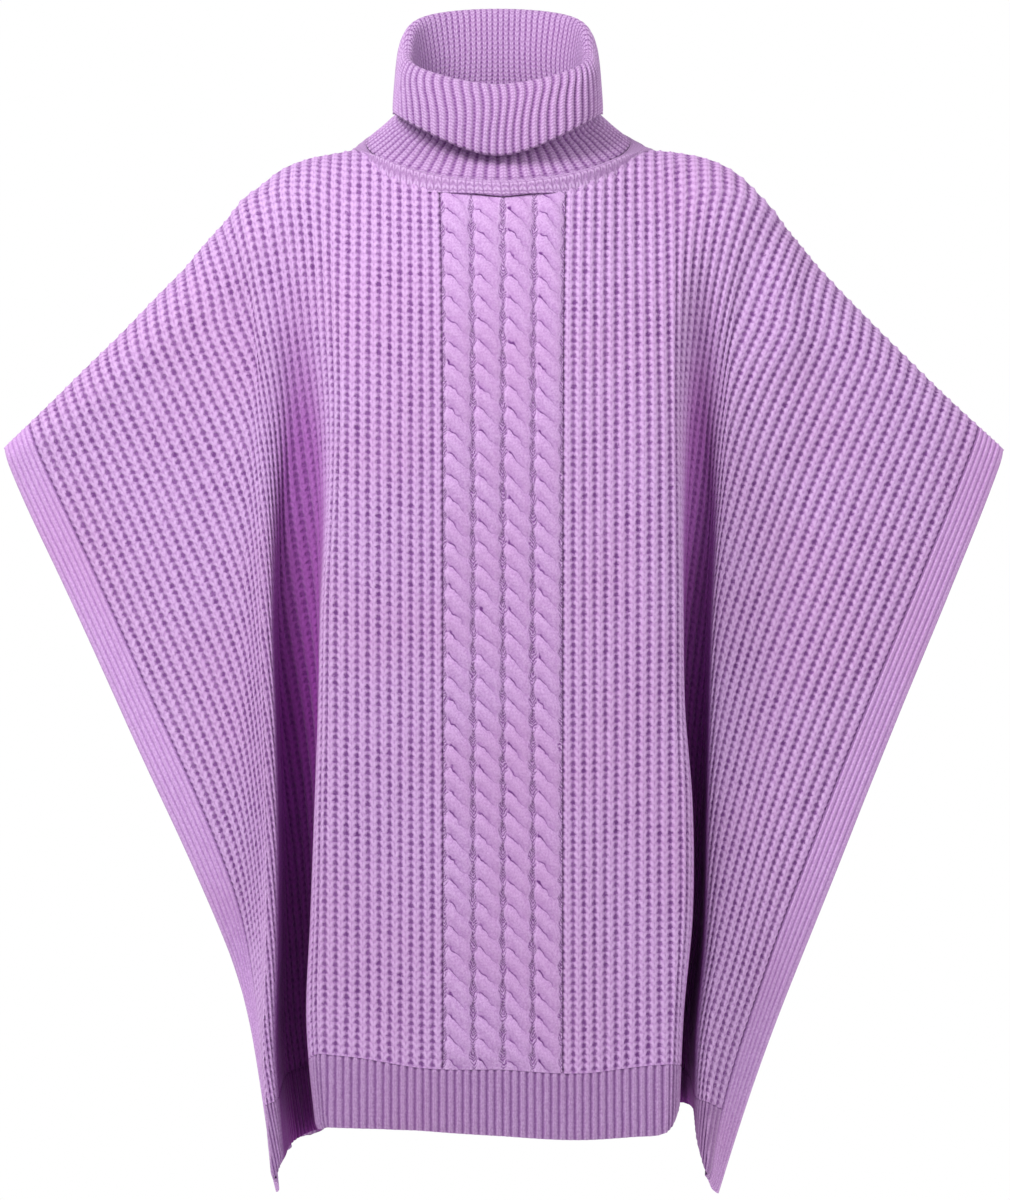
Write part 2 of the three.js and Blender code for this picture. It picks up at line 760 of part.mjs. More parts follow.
// Joins both faces of a wall and the edges between them.
function panelSkin(face, outer, inner) {
  const skin = new Skin(face.facing > 0);
  const layer = (parts, depth) => {
    const place = (column) => column.map((item) => {
      const normal = clothNormal(face, item.across, item.down);
      const point = clothPoint(face, item.across, item.down).addScaledVector(normal, item.relief - depth);
      return { ...item, index: skin.add(keepToSide(face, point)) };
    });
    const placeHalf = (side) => ({
      footIndex: side.footIndex,
      body: side.body.map(place),
      fold: side.fold.map(place),
      wing: side.wing.map(place),
    });
    return { left: placeHalf(parts.left), right: placeHalf(parts.right), middle: parts.middle.map(place) };
  };
  const byDown = (item) => item.down;
  const byAcross = (item) => item.across;
  const join = (a, b, sign) => {
    if (sign > 0) skin.strip(chain(a, byDown), chain(b, byDown));
    else skin.strip(chain(b, byDown), chain(a, byDown));
  };
  const fill = (side, middleColumn, sign) => {
    const crossed = side.wing.slice(1, side.footIndex + 1);
    const ridge = [...side.wing[0], ...crossed.map((column) => column[column.length - 1])];
    const inside = [middleColumn, ...side.body, ...side.fold, ridge];
    for (let k = 1; k < inside.length; k += 1) join(inside[k - 1], inside[k], sign);
    for (let k = 1; k < side.wing.length; k += 1) join(side.wing[k - 1], side.wing[k], sign);
  };
  const fillAll = (made) => {
    for (let k = 1; k < made.middle.length; k += 1) join(made.middle[k - 1], made.middle[k], 1);
    fill(made.right, made.middle[made.middle.length - 1], 1);
    fill(made.left, made.middle[0], -1);
  };
  const edge = (made, pick) => {
    const wing = (side) => (pick === 'top' ? side.wing : side.wing.slice(side.footIndex));
    const from = (side) => [...side.body, ...side.fold, ...wing(side)];
    const columns = [...from(made.left).reverse(), ...made.middle, ...from(made.right)];
    return chain(columns.map((column) => (pick === 'top' ? column[0] : column[column.length - 1])), byAcross);
  };
  const outerMade = layer(outer, 0);
  const innerMade = layer(inner, wall);
  fillAll(outerMade);
  skin.flipped = !skin.flipped;
  fillAll(innerMade);
  skin.flipped = !skin.flipped;
  skin.strip(edge(outerMade, 'top'), edge(innerMade, 'top'));
  const foot = edge(outerMade, 'bottom');
  skin.strip(edge(innerMade, 'bottom'), foot, foot);
  const last = (side) => chain(side.wing[side.wing.length - 1], byDown);
  skin.strip(last(outerMade.right), last(innerMade.right));
  const leftEnd = last(outerMade.left);
  skin.strip(last(innerMade.left), leftEnd, leftEnd);
  return skin;
}

function panel(face, name, material, middle) {
  const start = middle ? cut.cableHalf : 0;
  const centre = (relief, rows) => [rows.map((down) => ({ across: 0, down, relief }))];
  const centreRows = rowsDown(neckDown(face, 0) + neckGap, fullDown(face, 0) - cut.hemRibHeight - hemGap / 2);
  const outer = {
    left: halfColumns(face, -1, start, rib.pitch / 2, true),
    right: halfColumns(face, 1, start, rib.pitch / 2, true),
    middle: middle ?? centre(rib.low, centreRows),
  };
  const inner = {
    left: halfColumns(face, -1, 0, coarse, false),
    right: halfColumns(face, 1, 0, coarse, false),
    middle: centre(0, centreRows),
  };
  for (const half of [outer.left, outer.right, inner.left, inner.right]) {
    if (half.body[0][0].across === 0) half.body.shift();
  }
  return panelSkin(face, outer, inner).mesh(name, material);
}

// A band of the flat cloth with straight columns: places across, and rows from top to bottom.
function band(face, name, material, outerPlaces, innerPlaces, rowsAt) {
  const skin = new Skin(face.facing > 0);
  const layer = (places, depth) => places.map(({ across, relief, topRelief }) =>
    rowsAt(across).map((down, row) => {
      const raised = row === 0 ? topRelief ?? relief : relief;
      const normal = clothNormal(face, across, down);
      const point = clothPoint(face, across, down).addScaledVector(normal, raised - depth);
      return { across, down, index: skin.add(keepToSide(face, point)) };
    }));
  const byDown = (item) => item.down;
  const byAcross = (item) => item.across;
  const outer = layer(outerPlaces, 0);
  const inner = layer(innerPlaces, wall);
  for (let k = 1; k < outer.length; k += 1) skin.strip(chain(outer[k - 1], byDown), chain(outer[k], byDown));
  for (let k = 1; k < inner.length; k += 1) skin.strip(chain(inner[k], byDown), chain(inner[k - 1], byDown));
  const top = (columns) => chain(columns.map((column) => column[0]), byAcross);
  const bottom = (columns) => chain(columns.map((column) => column[column.length - 1]), byAcross);
  skin.strip(top(outer), top(inner));
  const foot = bottom(outer);
  skin.strip(bottom(inner), foot, foot);
  const end = (columns, k) => chain(columns.at(k), byDown);
  skin.strip(end(outer, -1), end(inner, -1));
  const start = end(outer, 0);
  skin.strip(end(inner, 0), start, start);
  return skin.mesh(name, material);
}

// The ribbed hem, whose columns carry on from those of the panel above it.
function hemRib(face, name, material, outerColumns, innerColumns) {
  const places = (columns, raised) => columns.map((item, k) => ({
    across: item.across,
    topRelief: item.relief,
    relief: raised && k > 0 && k < columns.length - 1 ? waleRelief(k) : 0,
  }));
  const rowsAt = (across) => {
    const seam = fullDown(face, across) - cut.hemRibHeight;
    return [seam + hemGap / 2, hemDown(face, across)];
  };
  return band(face, name, material, places(outerColumns, true), places(innerColumns, false), rowsAt);
}

function border(face, sign, name, material) {
  const inside = panelHalf + gap / 2;
  const places = steps(inside, cut.halfWidth, borderRibs).map((out, k) => ({
    across: sign * out,
    relief: k === 0 ? 0 : waleRelief(k),
  }));
  const plain = [inside, cut.halfWidth].map((out) => ({ across: sign * out, relief: 0 }));
  if (sign < 0) {
    places.reverse();
    plain.reverse();
  }
  const rowsAt = (across) => {
    const seam = fullDown(face, across) - cut.hemRibHeight;
    const panelRows = rowsDown(seamDown(across) + gap / 2, seam - hemGap / 2);
    return [...panelRows, seam + hemGap / 2, hemDown(face, across)];
  };
  return band(face, name, material, places, plain, rowsAt);
}

// Rings round the neck, at even angles from the front centre towards +X.
const neckAngles = (count) => Array.from({ length: count }, (_, k) => (2 * Math.PI * k) / count);

function neckPoint(row, angle) {
  const forward = Math.cos(angle);
  const sideways = Math.sin(angle);
  const corner = (Math.abs(forward) ** oblong + Math.abs(sideways) ** oblong) ** (-1 / oblong);
  const swell = mix(1, corner, row.square);
  const arch = mix(backArch * row.square, row.arch, smooth(-archTurn, archTurn, forward));
  const end = forward * (1 + arch * (forward * forward - 1));
  const tilt = (row.frontZ - row.backZ) / 2;
  const bow = (row.frontZ + row.backZ) / 2 - row.sideZ;
  return new THREE.Vector3(
    collarCentre + row.half * sideways * swell,
    -forward * swell * (forward > 0 ? row.front : row.back),
    row.sideZ + tilt * end + bow * end * end,
  );
}

// Joins rings of points into one closed tube that returns to its first ring.
function ringSkin(rings) {
  const skin = new Skin(false);
  const made = rings.map((ring) => {
    const items = ring.map((point, k) => ({ index: skin.add(point), at: k / ring.length }));
    return [...items, { index: items[0].index, at: 1 }];
  });
  made.forEach((ring, k) => skin.strip(ring, made[(k + 1) % made.length]));
  return skin;
}

function collar(name, material) {
  const rings = Object.values(collarRows).map((row) => {
    const count = row.relief > 0 ? 2 * collarRibs : plainSegments;
    return neckAngles(count).map((angle, k) => {
      const point = neckPoint(row, angle);
      if (row.relief === 0) return point;
      const outward = new THREE.Vector3(Math.sin(angle) / row.half, -Math.cos(angle) / row.front, 0);
      outward.normalize();
      return point.addScaledVector(outward, waleRelief(k) * collarHeight * row.relief);
    });
  });
  return ringSkin(rings).mesh(name, material);
}

// The rolled ridge between the panels' necklines and the collar's base.
function neckWelt(name, material) {
  const angles = neckAngles(welt.segments);
  const edgePoint = (angle, depth) => {
    const face = Math.cos(angle) >= 0 ? front : back;
    const across = cut.neckHalf * Math.sin(angle);
    const down = neckDown(face, across);
    const point = clothPoint(face, across, down).addScaledVector(clothNormal(face, across, down), -depth);
    if (Math.abs(Math.cos(angle)) < 0.001) point.y = 0;
    return point;
  };
  // The collar's lowest rows, moved down its flare by the gap.
  const topPoint = (angle, depth) => {
    const row = depth > 0 ? collarRows.innerBase : collarRows.base;
    const point = neckPoint(row, angle);
    const outward = new THREE.Vector3(point.x, point.y, 0).normalize();
    return point.addScaledVector(outward, welt.clear).add(new THREE.Vector3(0, 0, -welt.clear));
  };
  const between = (angle, share, bulge) => {
    const low = edgePoint(angle, 0);
    const point = low.clone().lerp(topPoint(angle, 0), share);
    const outward = new THREE.Vector3(low.x, low.y, 0).normalize().multiplyScalar(welt.out);
    outward.z = welt.up;
    return point.addScaledVector(outward, bulge);
  };
  const rings = [
    angles.map((angle) => edgePoint(angle, 0)),
    angles.map((angle) => between(angle, 0.12, welt.bulge * welt.shoulder)),
    angles.map((angle) => between(angle, 0.5, welt.bulge)),
    angles.map((angle) => between(angle, 0.88, welt.bulge * welt.shoulder)),
    angles.map((angle) => topPoint(angle, 0)),
    angles.map((angle) => topPoint(angle, wall)),
    angles.map((angle) => edgePoint(angle, wall)),
  ];
  return ringSkin(rings).mesh(name, material);
}

const yarn = (name, color) => {
  const material = new THREE.MeshStandardMaterial({ color, roughness: 0.95, metalness: 0 });
  material.name = name;
  return material;
};
const panelYarn = yarn('panel_yarn', 0xc898d3);
const ribYarn = yarn('rib_yarn', 0xa87eb3);
const collarYarn = yarn('collar_yarn', 0xbb8fc7);

// The places across of a panel's bottom points, which the hem's columns carry on from.
function bottomPlaces(face, middle, start, pitch, raised) {
  const half = (sign) => {
    const made = halfColumns(face, sign, start, pitch, raised);
    const columns = [...made.body, ...made.fold, ...made.wing.slice(made.footIndex)];
    return columns.map((column) => column[column.length - 1]);
  };
  const plain = [{ across: 0, relief: raised ? rib.low : 0 }];
  const centre = middle ? middle.map((column) => column[column.length - 1]) : plain;
  const all = [...half(-1), ...centre, ...half(1)].sort((a, b) => a.across - b.across);
  return all.filter((item, k) => k === 0 || item.across - all[k - 1].across > 0.01);
}

const garment = new THREE.Group();
const cables = cableColumns(front);
const frontPlaces = bottomPlaces(front, cables, cut.cableHalf, rib.pitch / 2, true);
const frontPlain = bottomPlaces(front, null, 0, coarse, false);
const backPlaces = bottomPlaces(back, null, 0, rib.pitch / 2, true);
const backPlain = bottomPlaces(back, null, 0, coarse, false);
garment.add(panel(front, 'front_panel', panelYarn, cables));
garment.add(panel(back, 'back_panel', panelYarn, null));
garment.add(hemRib(front, 'front_hem_rib', ribYarn, frontPlaces, frontPlain));
garment.add(hemRib(back, 'back_hem_rib', ribYarn, backPlaces, backPlain));
for (const [face, word] of [[front, 'front'], [back, 'back']]) {
  garment.add(border(face, -1, `${word}_border_left`, ribYarn));
  garment.add(border(face, 1, `${word}_border_right`, ribYarn));
}
garment.add(neckWelt('neck_welt', collarYarn));
garment.add(collar('collar', collarYarn));

export default garment;
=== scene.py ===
import bpy
import math
import numpy as np
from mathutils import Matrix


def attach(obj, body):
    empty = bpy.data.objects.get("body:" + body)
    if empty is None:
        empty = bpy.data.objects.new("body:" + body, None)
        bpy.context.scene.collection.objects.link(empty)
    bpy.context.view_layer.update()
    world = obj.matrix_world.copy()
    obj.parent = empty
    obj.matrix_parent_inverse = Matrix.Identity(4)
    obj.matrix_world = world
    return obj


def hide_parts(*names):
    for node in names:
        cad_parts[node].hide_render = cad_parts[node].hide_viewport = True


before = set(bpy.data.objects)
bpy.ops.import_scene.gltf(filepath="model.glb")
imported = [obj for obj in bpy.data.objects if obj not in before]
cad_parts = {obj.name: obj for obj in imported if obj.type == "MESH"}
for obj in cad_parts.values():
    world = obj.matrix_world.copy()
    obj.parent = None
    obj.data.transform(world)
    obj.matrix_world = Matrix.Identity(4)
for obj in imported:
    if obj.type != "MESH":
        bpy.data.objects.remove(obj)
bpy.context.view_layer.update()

# A knitted poncho sweater, standing hollow as it is worn. Lengths are millimetres of the flat cloth
# until makeMesh turns them into metres.

cut = {
    "halfWidth": 440,        # of front and back, laid flat
    "neckHalf": 120,         # half the width of its opening
    "shoulderSlope": 26,     # degrees
    "hemDown": 757,          # from the neck's side to the bottom edge
    "borderWidth": 25,
    "hemRibHeight": 53,
    "cableHalf": 46,
    "wall": 3.2,             # thickness of the knitting
    "gap": 0.3,              # between two pieces at a seam
    "bodyEase": 1.03,        # cloth taken up over the body, before the folds
    "foldRadius": 8,         # of the two lips of a fold
    "wingSettles": 90,       # mm from a wing's apex past which it turns no further
}
panelHalf = cut["halfWidth"] - cut["borderWidth"]
halfGap = cut["gap"] / 2

# Radius that the cloth rolls over the arm with, by place across.
armRoll = [(0, 0.01), (60, 10), (120, 30), (200, 42), (300, 36), (380, 26), (440, 12)]

# How far the cloth leans out, by share of its drop, at six places across.
leanAcross = (0, 60, 120, 200, 300, 440)
frontLean = [
    (0, 66, 28, 0, 0, 0, 0), (0.03, 77, 50, 4, 0, 0, 0), (0.06, 87, 66, 14, 1, 0, 0),
    (0.1, 98, 80, 32, 8, 1, 1), (0.2, 115, 103, 64, 26, 8, 6), (0.35, 126, 116, 86, 48, 24, 20),
    (0.6, 130, 120, 93, 64, 50, 50), (1, 130, 121, 95, 74, 77, 94)]
backLean = [
    (0, 72, 50, 0, 0, 0, 0), (0.03, 80, 62, 6, 0, 0, 0), (0.06, 87, 72, 18, 2, 0, 0),
    (0.1, 96, 82, 36, 10, 1, 1), (0.2, 112, 102, 66, 30, 10, 8), (0.35, 121, 112, 82, 50, 28, 26),
    (0.6, 126, 117, 90, 68, 56, 60), (1, 136, 127, 102, 82, 86, 102)]

# How far a wing turns in under its shoulder, by angle out from straight down.
wingTurn = {
    "left": [(16, 18), (20, 21), (26, 23.8), (38, 23.3), (50, 22), (66, 19), (110, 19)],
    "right": [(16, 20), (20, 21.1), (26, 21.7), (38, 21.2), (50, 20.1), (66, 18.6), (110, 18.6)],
    "backLeft": [(16, 19.5), (20, 21), (26, 22.8), (38, 22.5), (50, 21.6), (66, 19), (110, 19)],
    "backRight": [(16, 19.5), (20, 20.8), (26, 22), (38, 21.6), (50, 20.4), (66, 18.6), (110, 18.6)],
}

# The deep folds between body and wings: down, body's edge, wing's ridge, depth and curl.
leftFold = [
    (0, 142, 184, 0, 0), (60, 140, 184, 0, 0), (130, 134, 183, 8, 0), (204, 130, 179, 20, 0),
    (275, 132, 178, 34, 0), (351, 137, 177, 50, 0), (429, 139, 174, 64, 0), (507, 142, 172, 78, 0.1),
    (585, 145, 172, 90, 0.35), (663, 148, 173, 98, 0.5), (760, 139, 164.5, 102, 0.7)]
rightFold = [
    (0, 140, 182, 0, 0), (60, 140, 179, 0, 0), (130, 138, 172, 8, 0), (204, 136, 166, 20, 0),
    (275, 136, 164, 34, 0), (351, 136, 160, 50, 0), (429, 137, 158, 64, 0), (507, 143, 156, 78, 0),
    (585, 143, 154, 90, 0.15), (663, 136, 147, 98, 0.45), (760, 132, 147, 102, 0.9)]
backFold = [(275, 136, 170, 36, 0), (429, 140, 167, 66, 0), (585, 144, 166, 92, 0.25), (760, 140, 164, 106, 0.95)]

# Half of a fold's section: along, turn round its mouth, way to its middle, share of the depth.
foldProfile = [
    (0, 0, 0, 0), (0.05, 0.62, 0, 0.025), (0.1, 0.94, 0, 0.09), (0.16, 1, 0.02, 0.22),
    (0.25, 1, 0.06, 0.46), (0.36, 1, 0.12, 0.78), (0.43, 1, 0.4, 0.95), (0.5, 1, 1, 1)]

# How far up the hem is trimmed, by place across.
leftHem = [
    (0, 3), (60, 6), (90, 3), (112, 0), (140, -2), (152, -2), (180, 2), (220, 3), (260, 4), (300, 1), (340, 3),
    (380, 7), (404, 2), (440, 0)]
rightHem = [
    (0, 3), (60, 3), (100, 1), (118, 0), (126, 1.5), (134, 4.5), (142, 8.5), (150, 13.5), (160, 19), (180, 23),
    (220, 25), (260, 27), (300, 30), (340, 34), (362, 27), (380, 16), (400, 5), (412, 0), (440, -7)]
backLeftHem = [(0, 0), (380, 2), (404, 5), (424, 8), (440, 12)]
backRightHem = [(0, 0), (150, 0), (180, 4), (220, 12), (260, 20), (284, 18), (310, 8), (350, 0), (440, 6)]

# How far the shoulders stand above the straight seam, by place across.
leftShoulder = [
    (121, 0), (140, 6), (160, 14), (180, 19.5), (200, 16), (225, 9), (240, 10.5), (262, 15), (290, 13),
    (330, 7), (380, 5.8), (440, 8)]
rightShoulder = [
    (121, 0), (140, 7.5), (160, 12.8), (178, 12), (200, 2.5), (222, -4.5), (258, 3), (290, 1.5), (330, -2),
    (375, -3.6), (440, 0)]


def half(fold, turn, apexAcross, apexDown, ridgeSlope, droop, hemBulge, hemLift, shoulder):
    return dict(fold=fold, turn=wingTurn[turn], apexAcross=apexAcross, apexDown=apexDown, ridgeSlope=ridgeSlope,
                droop=droop, hemBulge=hemBulge, hemLift=hemLift, shoulder=shoulder)


front = dict(facing=-1, lean=frontLean, neckDrop=44, neckLift=0, cableSpread=0.17,
             left=half(leftFold, "left", 190, 43, 0.298, 9, 10, leftHem, leftShoulder),
             right=half(rightFold, "right", 178, 45, 0.316, 0, 18, rightHem, rightShoulder))
back = dict(facing=1, lean=backLean, neckDrop=4, neckLift=14, cableSpread=0,
            left=half(leftFold[:3] + backFold, "backLeft", 190, 43, 0.298, 9, 12, backLeftHem, leftShoulder),
            right=half(rightFold[:3] + backFold, "backRight", 178, 45, 0.316, 0, 12, backRightHem, rightShoulder))

# Soft creases laid over those forms: from and to (across, down), half width, height out of the cloth.
frontCreases = [
    ((-205, 60), (-212, 190), 13, 5),
    ((-232, 90), (-240, 200), 13, -4),
    ((232, 95), (262, 170), 14, 4.5),
    ((205, 90), (215, 210), 15, -3.5),
    ((-300, 190), (-352, 420), 24, -3),
    ((300, 200), (345, 460), 22, -3),
    ((112, 180), (118, 430), 16, 3),
    ((-96, 520), (-104, 700), 22, -3),
    ((84, 540), (96, 740), 20, -3),
]
backCreases = [
    ((-214, 70), (-222, 200), 14, 4),
    ((226, 80), (240, 190), 14, 4.5),
    ((-60, 380), (-72, 720), 30, -4),
    ((34, 300), (44, 740), 34, 3.5),
    ((310, 210), (356, 470), 24, -3),
    ((-306, 200), (-350, 440), 22, -3),
]


def smooth(low, high, value):
    t = np.clip((value - low) / (high - low), 0, 1)
    return t * t * (3 - 2 * t)


def mix(a, b, share):
    return a + (b - a) * share


def curve(places, heights, at):  # a smooth curve through points, flat beyond its ends
    places, heights = np.asarray(places, float), np.asarray(heights, float)
    at = np.clip(np.asarray(at, float), places[0], places[-1])
    last = len(places) - 1
    order = np.arange(last + 1)
    before, after = np.maximum(order - 1, 0), np.minimum(order + 1, last)
    run = places[after] - places[before]
    slopes = (heights[after] - heights[before]) / (run if heights.ndim == 1 else run[:, None])
    k = np.clip(np.searchsorted(places, at, side="right") - 1, 0, last - 1)
    width = places[k + 1] - places[k]
    t = (at - places[k]) / width

    def pick(table, row):
        return table[row] if table.ndim == 1 else np.take_along_axis(table, row[None], 0)[0]

    return (pick(heights, k) * (2 * t ** 3 - 3 * t ** 2 + 1) + pick(slopes, k) * width * (t ** 3 - 2 * t ** 2 + t)
            + pick(heights, k + 1) * (3 * t ** 2 - 2 * t ** 3) + pick(slopes, k + 1) * width * (t ** 3 - t ** 2))


def table(rows, column, at):
    return curve([row[0] for row in rows], [row[column] for row in rows], at)


def seamDown(across):
    return np.maximum(0, np.abs(across) - cut["neckHalf"]) * math.tan(math.radians(cut["shoulderSlope"]))


def fullDown(face, across):  # to the bottom edge before it is trimmed
    bulge = np.where(across < 0, face["left"]["hemBulge"], face["right"]["hemBulge"])
    share = np.abs(across) / cut["halfWidth"]
    return cut["hemDown"] + bulge * 4 * share * (1 - share)


def hemDown(face, across):
    out = np.abs(across)
    lift = np.where(across < 0, table(face["left"]["hemLift"], 1, out), table(face["right"]["hemLift"], 1, out))
    return fullDown(face, across) - lift


def neckDown(face, across):
    share = np.clip(np.abs(across) / cut["neckHalf"], 0, 1)
    return face["neckDrop"] * (1 - share ** 1.8) ** (1 / 1.8)


def topDown(face, across):  # to the top edge, just below the welt or the shoulder's seam
    return np.where(np.abs(across) < cut["neckHalf"], neckDown(face, across) + 0.9, seamDown(across) + halfGap)


def wingPoint(side, across, level):  # turned in round the wing's apex
    out, below = across - side["apexAcross"], level - side["apexDown"]
    reach = np.hypot(out, below)
    angle = np.degrees(np.arctan2(out, below))
    turn = table(side["turn"], 1, angle) * smooth(0, cut["wingSettles"], reach)
    turned = np.radians(angle - turn)
    return side["apexAcross"] + reach * np.sin(turned), side["apexDown"] + reach * np.cos(turned)


def halfPoint(face, side, out, down):
    seam = seamDown(out)
    below = down - seam
    radius = curve([p for p, _ in armRoll], [r for _, r in armRoll], out)
    roll = np.clip(below / radius, 0, math.pi / 2)
    rolled = radius * (1 - np.cos(roll))
    past = below - np.where(roll > 0, (math.pi / 2 - 1) * radius, 0)
    level = seam + np.where((roll < math.pi / 2) & (below > 0), rolled, past)
    signed = out if side is face["right"] else -out
    share = np.clip(below / (fullDown(face, signed) - seam), 0, 1)
    lean = np.stack([table(face["lean"], k + 1, share) for k in range(len(leanAcross))])
    depth = radius * np.sin(roll) + curve(leanAcross, lean, out)
    rise = table(side["shoulder"], 1, out) * np.exp(-np.maximum(below, 0) / 160)
    droop = side["droop"] * smooth(140, 200, out) - rise
    lift = face["neckLift"] * (1 - smooth(0, cut["neckHalf"], out)) * np.exp(-np.maximum(level, 0) / 100)

    fold = side["fold"]
    ease, bend = cut["bodyEase"], cut["foldRadius"]
    bodyEnd = ease * (table(fold, 1, level) - bend)
    wingStart = side["apexAcross"] + bend + np.maximum(0, level - side["apexDown"]) * side["ridgeSlope"]
    ridgeX = table(fold, 2, level) + bend
    startX, startLevel = wingPoint(side, wingStart, level)
    placeX, placeLevel = wingPoint(side, out, level)

    pastRidge = out - wingStart
    wingX = placeX + (ridgeX - startX) * (1 - smooth(0, cut["halfWidth"] - wingStart, pastRidge))
    wingDepth = depth - table(fold, 4, level) * pastRidge

    bodyX = bodyEnd / ease
    along = np.clip((out - bodyEnd) / (wingStart - bodyEnd), 0, 1)
    near = np.minimum(along, 1 - along)
    turn = bend * table(foldProfile, 1, near)
    middle = (bodyX + ridgeX) / 2
    cross = table(foldProfile, 2, near) * (middle - bodyX - bend)
    steepX = np.where(along < 0.5, bodyX + turn + cross, ridgeX - turn - cross)
    steep = smooth(130, 420, level)
    dip = mix(np.sin(math.pi * along) ** 2, table(foldProfile, 3, near), steep)
    foldX = mix(mix(bodyX, ridgeX, along), steepX, steep)
    foldFall = mix(level, startLevel, along)
    foldDepth = depth - table(fold, 3, level) * dip

    inWing, inFold = out >= wingStart, out > bodyEnd
    tuck = np.where(inFold & ~inWing, table(fold, 3, level) * dip, 0)
    spread = face["cableSpread"] * np.exp(-(out / 70) ** 2 - np.maximum(level, 0) / 90)
    x = np.where(inWing, wingX, np.where(inFold, foldX, out / ease * (1 + spread)))
    fall = np.where(inWing, placeLevel, np.where(inFold, foldFall, level))
    depth = np.where(inWing, wingDepth, np.where(inFold, foldDepth, depth))
    sign = 1 if side is face["right"] else -1
    return np.stack([sign * x, face["facing"] * np.maximum(depth, halfGap), lift - droop - fall, tuck], -1)


def clothForm(face, across, down):  # where a point of the flat cloth hangs, and how deep in a fold
    across, down = np.broadcast_arrays(np.asarray(across, float), np.asarray(down, float))
    points = np.empty(across.shape + (4,))
    isLeft = across < 0
    for side, mask in ((face["left"], isLeft), (face["right"], ~isLeft)):
        if mask.any():
            points[mask] = halfPoint(face, side, np.abs(across[mask]), down[mask])
    return points


def clothPoint(face, across, down):
    return clothForm(face, across, down)[..., :3]


def keepApart(face, points):  # front and back meet at the shoulders and stay half a gap off the seam
    if face["facing"] < 0:
        points[..., 1] = np.minimum(points[..., 1], -halfGap)
    else:
        points[..., 1] = np.maximum(points[..., 1], halfGap)


def shadeAt(face, across, down):  # painted shade: 0 in the open, 1 deep in a fold, a little weaker high up
    return smooth(1, 24, clothForm(face, across, down)[..., 3]) * mix(0.75, 1, smooth(220, 480, down))


def swellAt(place):  # 0 at whole numbers, 1 half way between them
    return 0.5 - 0.5 * np.cos(2 * np.pi * place)


def unit(vectors):
    return vectors / np.maximum(np.linalg.norm(vectors, axis=-1, keepdims=True), 1e-9)


def clothNormal(face, across, down, step=1.0):
    across, down = np.broadcast_arrays(np.asarray(across, float), np.asarray(down, float))
    top = seamDown(across)
    before = clothPoint(face, across - step, np.maximum(down, seamDown(across - step) + 0.02))
    after = clothPoint(face, across + step, np.maximum(down, seamDown(across + step) + 0.02))
    above = clothPoint(face, across, np.maximum(down - step, np.minimum(down, top)))
    below = clothPoint(face, across, down + step)
    normal = unit(np.cross(after - before, below - above) * face["facing"])
    onSeam = (np.abs(across) >= cut["neckHalf"] - 0.01) & (down - top < 0.5)
    normal[onSeam, 1] = 0
    return unit(normal)


def creaseHeight(creases, across, down):
    height = np.zeros(across.shape)
    for (ax, ay), (bx, by), halfWidth, high in creases:
        run = np.hypot(bx - ax, by - ay)
        ux, uy = (bx - ax) / run, (by - ay) / run
        along = (across - ax) * ux + (down - ay) * uy
        away = np.abs((across - ax) * uy - (down - ay) * ux)
        ends = smooth(-0.25 * run, 0.25 * run, along) * (1 - smooth(0.75 * run, 1.25 * run, along))
        height += high * ends * np.exp(-(away / halfWidth) ** 2)
    return height


def newObject(name, data):
    made = bpy.data.objects.new(name, data)
    bpy.context.scene.collection.objects.link(made)
    return made


class Cloth:  # a mesh under construction, with its stitch coordinates on each corner
    def __init__(self):
        self.points, self.shades, self.faces, self.corners, self.slots = [], [], [], [], []
        self.count = 0

    def addPoints(self, points, shades=0.0):
        self.shades.append(np.broadcast_to(shades, points.shape[:-1]).ravel())
        points = points.reshape(-1, 3)
        self.points.append(points)
        self.count += len(points)
        return np.arange(self.count - len(points), self.count)

    def addGrid(self, index, stitches, slot, flipped):  # index and stitches by row and column
        index = np.asarray(index)
        quads = np.stack([index[:-1, :-1], index[1:, :-1], index[1:, 1:], index[:-1, 1:]], -1)
        uv = np.stack([stitches[:-1, :-1], stitches[1:, :-1], stitches[1:, 1:], stitches[:-1, 1:]], -2)
        if flipped:
            quads, uv = quads[..., ::-1], uv[..., ::-1, :]
        slots = np.broadcast_to(slot, quads.shape[:2]).reshape(-1)
        for quad, place, use in zip(quads.reshape(-1, 4).tolist(), uv.reshape(-1, 4, 2).tolist(), slots.tolist()):
            keep = [k for k in range(4) if quad[k] != quad[k - 1]]
            if len(keep) > 2:
                self.faces.append([quad[k] for k in keep])
                self.corners.extend(place[k] for k in keep)
                self.slots.append(use)

    def makeMesh(self, name, materials, body="root"):
        points = np.concatenate(self.points) * 0.001
        mesh = bpy.data.meshes.new(name)
        mesh.from_pydata(points.tolist(), [], self.faces)
        for material in materials:
            mesh.materials.append(material)
        mesh.polygons.foreach_set("material_index", self.slots)
        mesh.polygons.foreach_set("use_smooth", [True] * len(self.faces))
        layer = mesh.uv_layers.new(name="stitches")
        layer.data.foreach_set("uv", np.asarray(self.corners).ravel())
        # the painted shade of the folds, which darkens the yarn's colour
        shade = mesh.attributes.new(name="shade", type="FLOAT", domain="POINT")
        shade.data.foreach_set("value", np.concatenate(self.shades))
        mesh.update()
        made = newObject(name, mesh)
        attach(made, body)
        print(name, len(self.faces), "faces")
        return made


